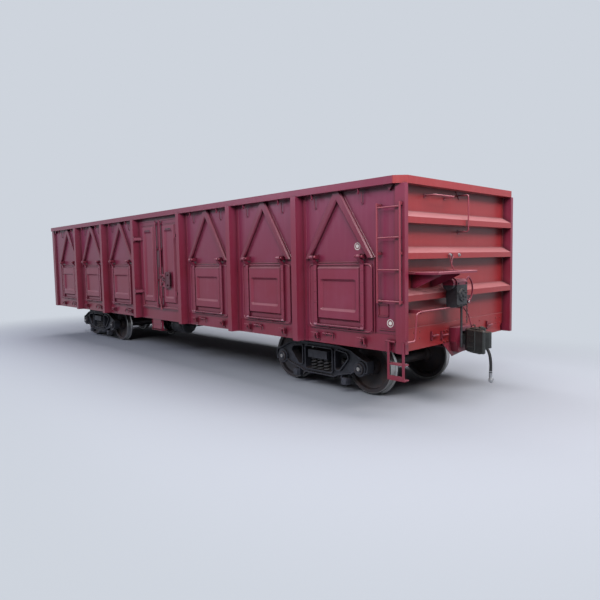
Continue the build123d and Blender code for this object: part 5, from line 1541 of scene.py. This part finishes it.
# --- ends -------------------------------------------------------------------------------------
@dataclass
class EndFittings:
    """Welds along the ribs, bolts of the striker and the end sill, and caps of the coupler."""

    # heights above the rail of the top and the underside of each rib, at the sheet and at its front
    rib_feet: tuple[Flat, ...] = ((2.708, 2.540), (2.233, 2.072), (1.665, 1.520))
    rib_fronts: tuple[Flat, ...] = ((2.622, 2.540), (2.152, 2.072), (1.600, 1.520))
    rib_edge: float = 0.005
    half: float = 1.430
    sill_plate_top: float = FLOOR_TOP + 0.058
    sill_out: float = 0.008
    striker_bolts: tuple[float, ...] = (-0.290, -0.370, 0.270)
    striker_bolt_heights: Flat = (0.860, 1.020)
    sill_rivets: tuple[float, ...] = (-1.260, -1.120, -0.980, 0.660, 1.200, 1.330)
    sill_rivet_heights: Flat = (1.075, 0.985)
    # place across and height above the rail of the bars that hold the hose and the pipe
    sill_bars: tuple[Flat, ...] = ((-0.660, 0.985), (-0.400, 0.965), (0.930, 0.985))
    apron: tuple[Flat, ...] = ((-0.420, RAIL_Z + 0.840), (0.300, RAIL_Z + 0.840), (0.160, RAIL_Z + 0.655),
                               (-0.160, RAIL_Z + 0.620))
    pin: Flat = (6.589, 0.105)
    # profiles of the knuckle pin's ends: how far above the coupler or below it, and the radius
    pin_head: tuple[Flat, ...] = ((-0.002, 0.040), (0.010, 0.040), (0.016, 0.034), (0.018, 0.016))
    pin_foot: tuple[Flat, ...] = ((0.002, 0.026), (-0.014, 0.026), (-0.018, 0.018))
    # the lock lifter's outline and its eye: place along the wagon (and across), height above the coupler
    lifter: tuple[Flat, ...] = ((6.520, -0.004), (6.600, -0.004), (6.590, 0.016), (6.530, 0.016))
    lifter_eye: tuple[Triple, ...] = ((6.560, -0.025, 0.010), (6.560, -0.025, 0.040), (6.540, -0.012, 0.050),
                                      (6.510, -0.004, 0.036))
    # outlines of the coupler's lips and ribs, along the wagon and across
    lip: tuple[Flat, ...] = ((6.515, -0.110), (6.625, -0.148), (6.725, -0.182), (6.735, -0.150),
                             (6.655, -0.085), (6.590, -0.025), (6.545, 0.020), (6.515, 0.010))
    side_rib: tuple[Flat, ...] = ((6.490, -0.135), (6.500, -0.164), (6.628, -0.198), (6.640, -0.170))
    front_rib: tuple[Flat, ...] = ((6.735, -0.110), (6.780, -0.200), (6.794, -0.196), (6.752, -0.100))

    def seams(self) -> None:
        """Weld the ribs and the end plate to the end sheet, with the bend radii of the ribs."""
        shape = Shape(31)
        half = self.half
        for height in (height for rib in self.rib_feet for height in rib):
            shape.bead(on_end(-half, RAIL_Z + height), on_end(half, RAIL_Z + height))
        for top, under in self.rib_fronts:
            for z in (RAIL_Z + top - self.rib_edge, RAIL_Z + under + self.rib_edge):
                shape.pin((END_FRONT - self.rib_edge, 0.0, z), Axis.Y, half, 0.0053, 8)
        shape.bead(on_end(-half, self.sill_plate_top, 0.004), on_end(half, self.sill_plate_top, 0.004))
        for side in SIDES:
            shape.bead(on_end(side * half, FLOOR_TOP), on_end(side * half, CHORD_UNDER))
        shape.place("end_seams", "wagon_body", WARM_LIT_ENDS, "body_paint", BOTH_ENDS)

    def sill_bolts(self) -> None:
        """Bolt the striker to the end sill, and rivet the end plate."""
        shape = Shape(37)
        for y in self.striker_bolts:
            for height in self.striker_bolt_heights:
                shape.bolt(on_end(y, RAIL_Z + height, self.sill_out), FORWARD)
        for y in self.sill_rivets:
            for height in self.sill_rivet_heights:
                shape.rivet(on_end(y, RAIL_Z + height, self.sill_out), FORWARD, 0.013)
        shape.place("end_sill_bolts", "wagon_body", WARM_LIT_ENDS, "body_paint", BOTH_ENDS)

    def bars_and_apron(self) -> None:
        """Add the bars that hold the hose and the pipe, and the flat apron below the striker."""
        shape = Shape(39)
        out = self.sill_out
        for y, height in self.sill_bars:
            z = RAIL_Z + height
            clip = [(y - 0.062, z + 0.065), (y - 0.040, z + 0.060), (y - 0.036, z - 0.070),
                    (y - 0.066, z - 0.050)]
            shape.prism(clip, Axis.X, END_FACE + out - 0.002, END_FACE + out + 0.026, 0.003)
            bends = ((-0.050, out), (-0.050, out + 0.038), (0.085, out + 0.038), (0.085, out))
            shape.tube([on_end(y + across, z, stand) for across, stand in bends], 0.008, 10)
        shape.prism(self.apron, Axis.X, END_FACE + 0.004, END_FACE + 0.014, 0.003)
        # bars and apron wear the pale maroon of their painted highlight
        shape.place("end_sill_bars", "wagon_body", HIGHLIT_MAROON, "body_paint", BOTH_ENDS)

    def coupler_caps(self) -> None:
        """Add the knuckle pin's head, the lock lifter and the cast ribs and lips to the couplers."""
        shape = Shape(38)
        low, high = COUPLER_LOW, COUPLER_HIGH
        shape.turned(self.pin_head, (*self.pin, high), Axis.Z, 24)
        shape.turned(self.pin_foot, (*self.pin, low), Axis.Z, 20)
        shape.prism([(x, high + up) for x, up in self.lifter], Axis.Y, -0.060, 0.010, 0.004)
        shape.tube([(x, y, high + up) for x, y, up in self.lifter_eye], 0.008, 10)
        shape.prism(self.lip, Axis.Z, high - 0.003, high + 0.014, 0.006)
        shape.prism(self.lip, Axis.Z, low + 0.003, low - 0.014, 0.006)
        for outline, heights, half, bevel in ((self.side_rib, (-0.095, -0.010, 0.075), 0.012, 0.005),
                                              (self.front_rib, (-0.060, 0.060), 0.010, 0.004)):
            for height in heights:
                z = COUPLER_Z + height
                shape.prism(outline, Axis.Z, z - half, z + half, bevel)
        # the edges of the head are rounded by bars
        shape.rod((6.785, -0.212, low + 0.016), (6.785, -0.212, high - 0.016), 0.0235, 20)
        shape.rod((6.640, -0.176, low + 0.018), (6.640, -0.176, high - 0.018), 0.020, 18)
        shape.place("coupler_caps", "wagon_body", COUPLER_CASTING, "coupler_cast", BOTH_ENDS)

    def build(self) -> None:
        """Dress both ends."""
        self.seams()
        self.sill_bolts()
        self.bars_and_apron()
        self.coupler_caps()


@dataclass
class BrakeEnd:
    """What only the hand-brake end carries: release lever, handrail feet, chain, bolts of the gear case."""

    rail_feet: tuple[Flat, ...] = ((-0.850, TOP_Z - 0.212), (-0.360, TOP_Z - 0.212),
                                   (0.020, FLOOR_TOP + 1.373))
    rail_foot: tuple[Flat, ...] = ((-0.002, 0.032), (0.006, 0.032), (0.008, 0.028), (0.008, 0.012))
    bright_bolts: Flat = (-0.430, -0.190)
    bright_height: float = RAIL_Z + 2.117
    # place across and height of the wishbone's feet, of its fork and of its lower end
    wishbone_feet: tuple[Flat, Flat] = ((-0.480, RAIL_Z + 2.120), (-0.380, RAIL_Z + 2.120))
    wishbone_fork: Flat = (-0.430, RAIL_Z + 1.985)
    wishbone_end: Flat = (-0.405, RAIL_Z + 1.890)
    wishbone_stand: float = 0.022
    case_y: Flat = (-0.530, -0.255)
    case_z: Flat = (RAIL_Z + 1.390, RAIL_Z + 1.780)
    case_front: float = 0.170
    cover_circle: float = 0.064
    cover_boss: tuple[Flat, ...] = ((-0.002, 0.030), (0.012, 0.028), (0.016, 0.020), (0.016, 0.010))
    guard_pin: Point = (END_FRONT + 0.134, -0.146, RAIL_Z + 1.441)
    chain_top: Point = (END_FRONT + 0.105, -0.146, RAIL_Z + 1.436)
    chain_links: int = 11
    link_half: float = 0.017
    link_wide: float = 0.010
    link_bar: float = 0.0035

    def painted(self) -> None:
        """Edge the platform, and add the forked release lever and the feet of the handrails."""
        shape = Shape(41)
        x, z = PLATFORM_HIGH.x - 0.005, PLATFORM_HIGH.z - 0.004
        shape.rod((x, PLATFORM_LOW.y, z), (x, PLATFORM_HIGH.y, z), 0.008, 10)
        for y in (PLATFORM_LOW.y + 0.005, PLATFORM_HIGH.y - 0.005):
            shape.rod((END_FACE, y, z), (x, y, z), 0.008, 10)
        x = END_FRONT + self.wishbone_stand
        fork_y, fork_z = self.wishbone_fork
        for y, z in self.wishbone_feet:
            shape.tube([(END_FRONT, y, z), (x, y, z), (x, fork_y, fork_z)], 0.007, 10)
        stem = [(x, fork_y, fork_z + 0.010), (x, fork_y, fork_z), (x + 0.030, *self.wishbone_end)]
        shape.tube(stem, 0.008, 10)
        for y, z in self.rail_feet:
            shape.turned(self.rail_foot, on_end(y, z), Axis.X, 20)
        # lever, platform edge and rail feet wear the pale maroon of their painted highlight
        shape.place("release_lever_and_rail_feet", "wagon_body", HIGHLIT_MAROON, "body_paint")

    def chain(self, shape: Shape) -> None:
        """Hang the brake chain from the guard's pin, each link turned a quarter from the last.

        Args:
            shape: Mesh that takes it.
        """
        x, y, z = self.chain_top
        loop = circle(12)
        for i in range(self.chain_links):
            middle = z - i * (2 * self.link_half - 1.6 * self.link_bar)
            points = []
            for cosine, sine in [*loop, loop[0]]:
                across, up = self.link_wide * cosine, middle + self.link_half * sine
                points.append((x, y + across, up) if i % 2 else (x + across, y, up))
            shape.tube(points, self.link_bar, 6)

    def case_bolts(self, shape: Shape) -> None:
        """Bolt the cover and the flanges of the gear case.

        Args:
            shape: Mesh that takes the bolts.
        """
        face = END_FRONT + self.case_front
        (y0, y1), (low, high) = self.case_y, self.case_z
        for y in (y0 + 0.028, y1 - 0.028):
            for z in (low + 0.028, (low + high) / 2, high - 0.060):
                shape.bolt((face, y, z), FORWARD, 0.024)
        cover, y, z = face + 0.022, (y0 + y1) / 2, (low + high) / 2 - 0.030
        for angle in (math.radians(60 * k + 30) for k in range(6)):
            across, up = self.cover_circle * math.cos(angle), self.cover_circle * math.sin(angle)
            shape.bolt((cover, y + across, z + up), FORWARD, 0.018)
        shape.turned(self.cover_boss, (cover, y, z), Axis.X, 24)

    def build(self) -> None:
        """Dress the front end."""
        self.painted()
        dark = Shape(43)
        self.chain(dark)
        self.case_bolts(dark)
        dark.place("brake_chain_and_case_bolts", "wagon_body", BLACK_GEAR, "gear_black")
        bright = Shape(44)
        for y in self.bright_bolts:
            bright.bolt((END_FRONT, y, self.bright_height), FORWARD, 0.040)
        bright.turned([(-0.002, 0.017), (0.010, 0.017), (0.014, 0.012)], self.guard_pin, Axis.X, 18)
        bright.place("bright_end_bolts", "wagon_body", BRIGHT_FITTING, "fitting_metal")


# --- underframe and load space ----------------------------------------------------------------
@dataclass
class UnderframeFittings:
    """Brake rods, cylinder bands and pipe clips under the floor."""

    rod_reach: float = 3.05
    rod_z: float = RAIL_Z + 0.640
    front_rod_y: float = -0.110
    rear_rod_y: float = -0.420
    cylinder_y: float = -0.720
    cylinder_radius: float = 0.178
    cylinder_bands: Flat = (-0.530, -0.190)
    reservoir_y: float = 0.720
    reservoir_radius: float = 0.150
    reservoir_bands: Flat = (-0.590, 0.390)
    lever_x: float = 0.130
    bearers: tuple[float, ...] = (-2.690, -0.990, 0.990, 2.690)
    clips: tuple[float, ...] = (1.000, 2.100, 3.200)
    # place across, height and radius of the brake pipe
    pipe: Triple = (0.350, RAIL_Z + 0.728, 0.017)
    shape: Shape = field(default_factory=lambda: Shape(47))

    def band(self, middle: Point, half: float, inner: float, outer: float, sides: int) -> None:
        """Put a flat band, 2 half wide, round a tube that runs along the wagon."""
        section = [(-half, inner), (-half, outer), (half, outer), (half, inner)]
        self.shape.turned(section, middle, Axis.X, sides, closed=True)

    def tanks(self) -> None:
        """Strap the cylinder and the reservoir with bolted bands."""
        for y, radius, bands in ((self.cylinder_y, self.cylinder_radius, self.cylinder_bands),
                                 (self.reservoir_y, self.reservoir_radius, self.reservoir_bands)):
            for x in bands:
                self.band((x, y, self.rod_z), 0.022, radius + 0.001, radius + 0.005, 40)
                for way in SIDES:
                    self.shape.bolt((x, y + way * (radius + 0.004), self.rod_z), (0, way, 0), 0.026)

    def rods(self) -> None:
        """Run the pull rods from the brake lever towards both bogies, hung at every cross bearer."""
        z, y = self.rod_z, self.cylinder_y
        lever = [(y - 0.050, z - 0.014), (-0.060, z - 0.014), (-0.060, z + 0.014), (y - 0.050, z + 0.014)]
        self.shape.prism(lever, Axis.X, self.lever_x - 0.008, self.lever_x + 0.008, 0.003)
        for way, y in ((1, self.front_rod_y), (-1, self.rear_rod_y)):
            end = way * self.rod_reach
            back = end - way * 0.110
            self.shape.rod((self.lever_x, y, z - 0.012), (end, y, z - 0.012), 0.013, 12)
            self.shape.prism([(end, z - 0.040), (back, z - 0.034), (back, z + 0.010), (end, z + 0.016)],
                             Axis.Y, y - 0.020, y + 0.020, 0.004)
            self.shape.pin((end - way * 0.030, y, z - 0.012), Axis.Y, 0.034, 0.011)
        for x in self.bearers:
            y = self.front_rod_y if x > 0 else self.rear_rod_y
            for side in (y - 0.024, y + 0.024):
                self.shape.rod((x, side, z - 0.028), (x, side, FLOOR_TOP - 0.310), 0.006, 8)
            self.shape.pin((x, y, z - 0.031), Axis.Y, 0.030, 0.006, 8)

    def pipe_clips(self) -> None:
        """Clip the brake pipe to the centre sill."""
        across, z, radius = self.pipe
        for along in self.clips:
            for way in SIDES:
                x, y = way * along, way * across
                self.band((x, y, z), 0.014, radius + 0.0005, radius + 0.004, 20)
                self.shape.plate((x - 0.014, y - 0.006, z + radius),
                                 (x + 0.014, y + 0.006, FLOOR_TOP - 0.300), 0.002)

    def build(self) -> None:
        """Fit the underframe."""
        self.tanks()
        self.rods()
        self.pipe_clips()
        self.shape.place("brake_rigging_under_floor", "wagon_body", BLACK_GEAR, "gear_black")


@dataclass
class LoadSpace:
    """Seams of the floor sheets and the inner walls, with the rows of plug welds over the beams."""

    half: float = 1.445
    reach: float = 6.245
    floor_seams: tuple[float, ...] = (-5.45, -4.40, -2.69, -0.99, 0.99, 2.69, 4.40, 5.45)
    weld: float = 0.006
    ripple: float = 0.06
    plug_pitch: float = 0.180

    def build(self) -> None:
        """Lay the seams inside."""
        shape = Shape(53)
        half, reach = self.half, self.reach
        for x in self.floor_seams:
            shape.bead((x, -half, FLOOR_TOP), (x, half, FLOOR_TOP), 0.004, self.ripple)
            for i in range(int(2 * half / self.plug_pitch)):
                shape.turned([(-0.001, 0.012), (0.0015, 0.011), (0.002, 0.006)],
                             (x + 0.035, -half + (i + 0.5) * self.plug_pitch, FLOOR_TOP), Axis.Z, 10)
        for wall in (-half, half):
            for z in (FLOOR_TOP, CHORD_UNDER):
                shape.bead((-reach, wall, z), (reach, wall, z), self.weld, self.ripple)
            for end in (-reach, reach):
                shape.bead((end, wall, FLOOR_TOP), (end, wall, CHORD_UNDER), self.weld)
        for end in (-reach, reach):
            shape.bead((end, -half, FLOOR_TOP), (end, half, FLOOR_TOP), self.weld, self.ripple)
        shape.place("load_space_seams", "wagon_body", WORN_FLOOR, "floor_steel")


# --- finishes of the frame's own nodes ----------------------------------------------------------
# each finish with the first words of the names of the nodes that wear it
FRAME_FINISHES: tuple[tuple[Finish, tuple[str, ...]], ...] = (
    (MAROON_SHEET, ("upper_side_sheets", "lower_side_sheets")),
    # the braces wear the darker copy of the enamel that paints their shade
    (SHADED_MAROON_BRACES, ("side_braces",)),
    (MAROON_DOORS, ("lower_door_", "centre_door_")),
    (MAROON_FRAMING, ("centre_sill", "side_sills", "body_bolsters", "cross_bearers", "side_posts",
                      "door_hinge_lugs", "side_top_chords", "door_latches", "chord_hooks", "corner_posts",
                      "strikers", "corner_steps", "brake_platform")),
    # the ends wear the redder copy of the enamel that paints their warm light
    (WARM_LIT_ENDS, ("end_sills", "end_sheets", "end_top_chords", "end_ribs")),
    # ladders, levers and handrails wear the pale maroon of their painted highlight
    (HIGHLIT_MAROON, ("ladders", "uncoupling_levers", "end_handrails")),
    (HAND_BRAKE_COAT, ("hand_brake_gear",)),
    (WORN_FLOOR, ("floor_plate",)),
    (BLACK_GEAR, ("brake_cylinder_and_reservoir", "train_pipe", "brake_beams_")),
    (COUPLER_CASTING, ("couplers", "coupler_knuckles")),
    (BOGIE_CASTING, ("side_frames_", "bogie_bolster_")),
    (SPRING_STEEL, ("springs_",)),
    (HOSE_RUBBER, ("air_hose_",)),
    (BRIGHT_FITTING, ("hose_couplings",)),
)


def finish_of(name: str) -> Finish:
    """Finish that one of the frame's own nodes wears.

    Args:
        name: Name of the node.

    Returns:
        The finish.

    Raises:
        ValueError: When no finish names the node.
    """
    if name.startswith("wheelset_"):
        low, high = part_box(name)
        return RolledWheel(f"rolled_steel_{name}", round((low.x + high.x) / 2, 4))
    for finish, words in FRAME_FINISHES:
        if name.startswith(words):
            return finish
    raise ValueError(f"no finish for {name}")


def dress_frame() -> None:
    """Give each of the frame's own nodes its finish."""
    for name, node in frame["nodes"].items():
        node.data.materials.clear()
        node.data.materials.append(material_of(finish_of(name)))
    log.info("dressed %d nodes of the frame", len(frame["nodes"]))


def main() -> None:
    """Build the studio, then each sub-assembly in order."""
    logging.basicConfig(level=logging.INFO, format="%(name)s: %(message)s")
    dress_frame()
    for assembly in (Studio(), AirHose(), SpringNest(), AxleEnds(), BogieFittings(), LowerDoorFittings(),
                     CentreDoorFittings(), HingePins(), SillFittings(), SideSeams(), CardHolders(),
                     EndFittings(), BrakeEnd(), UnderframeFittings(), LoadSpace()):
        assembly.build()
        log.info("%s is done", type(assembly).__name__)


if __name__ == "__main__":
    main()
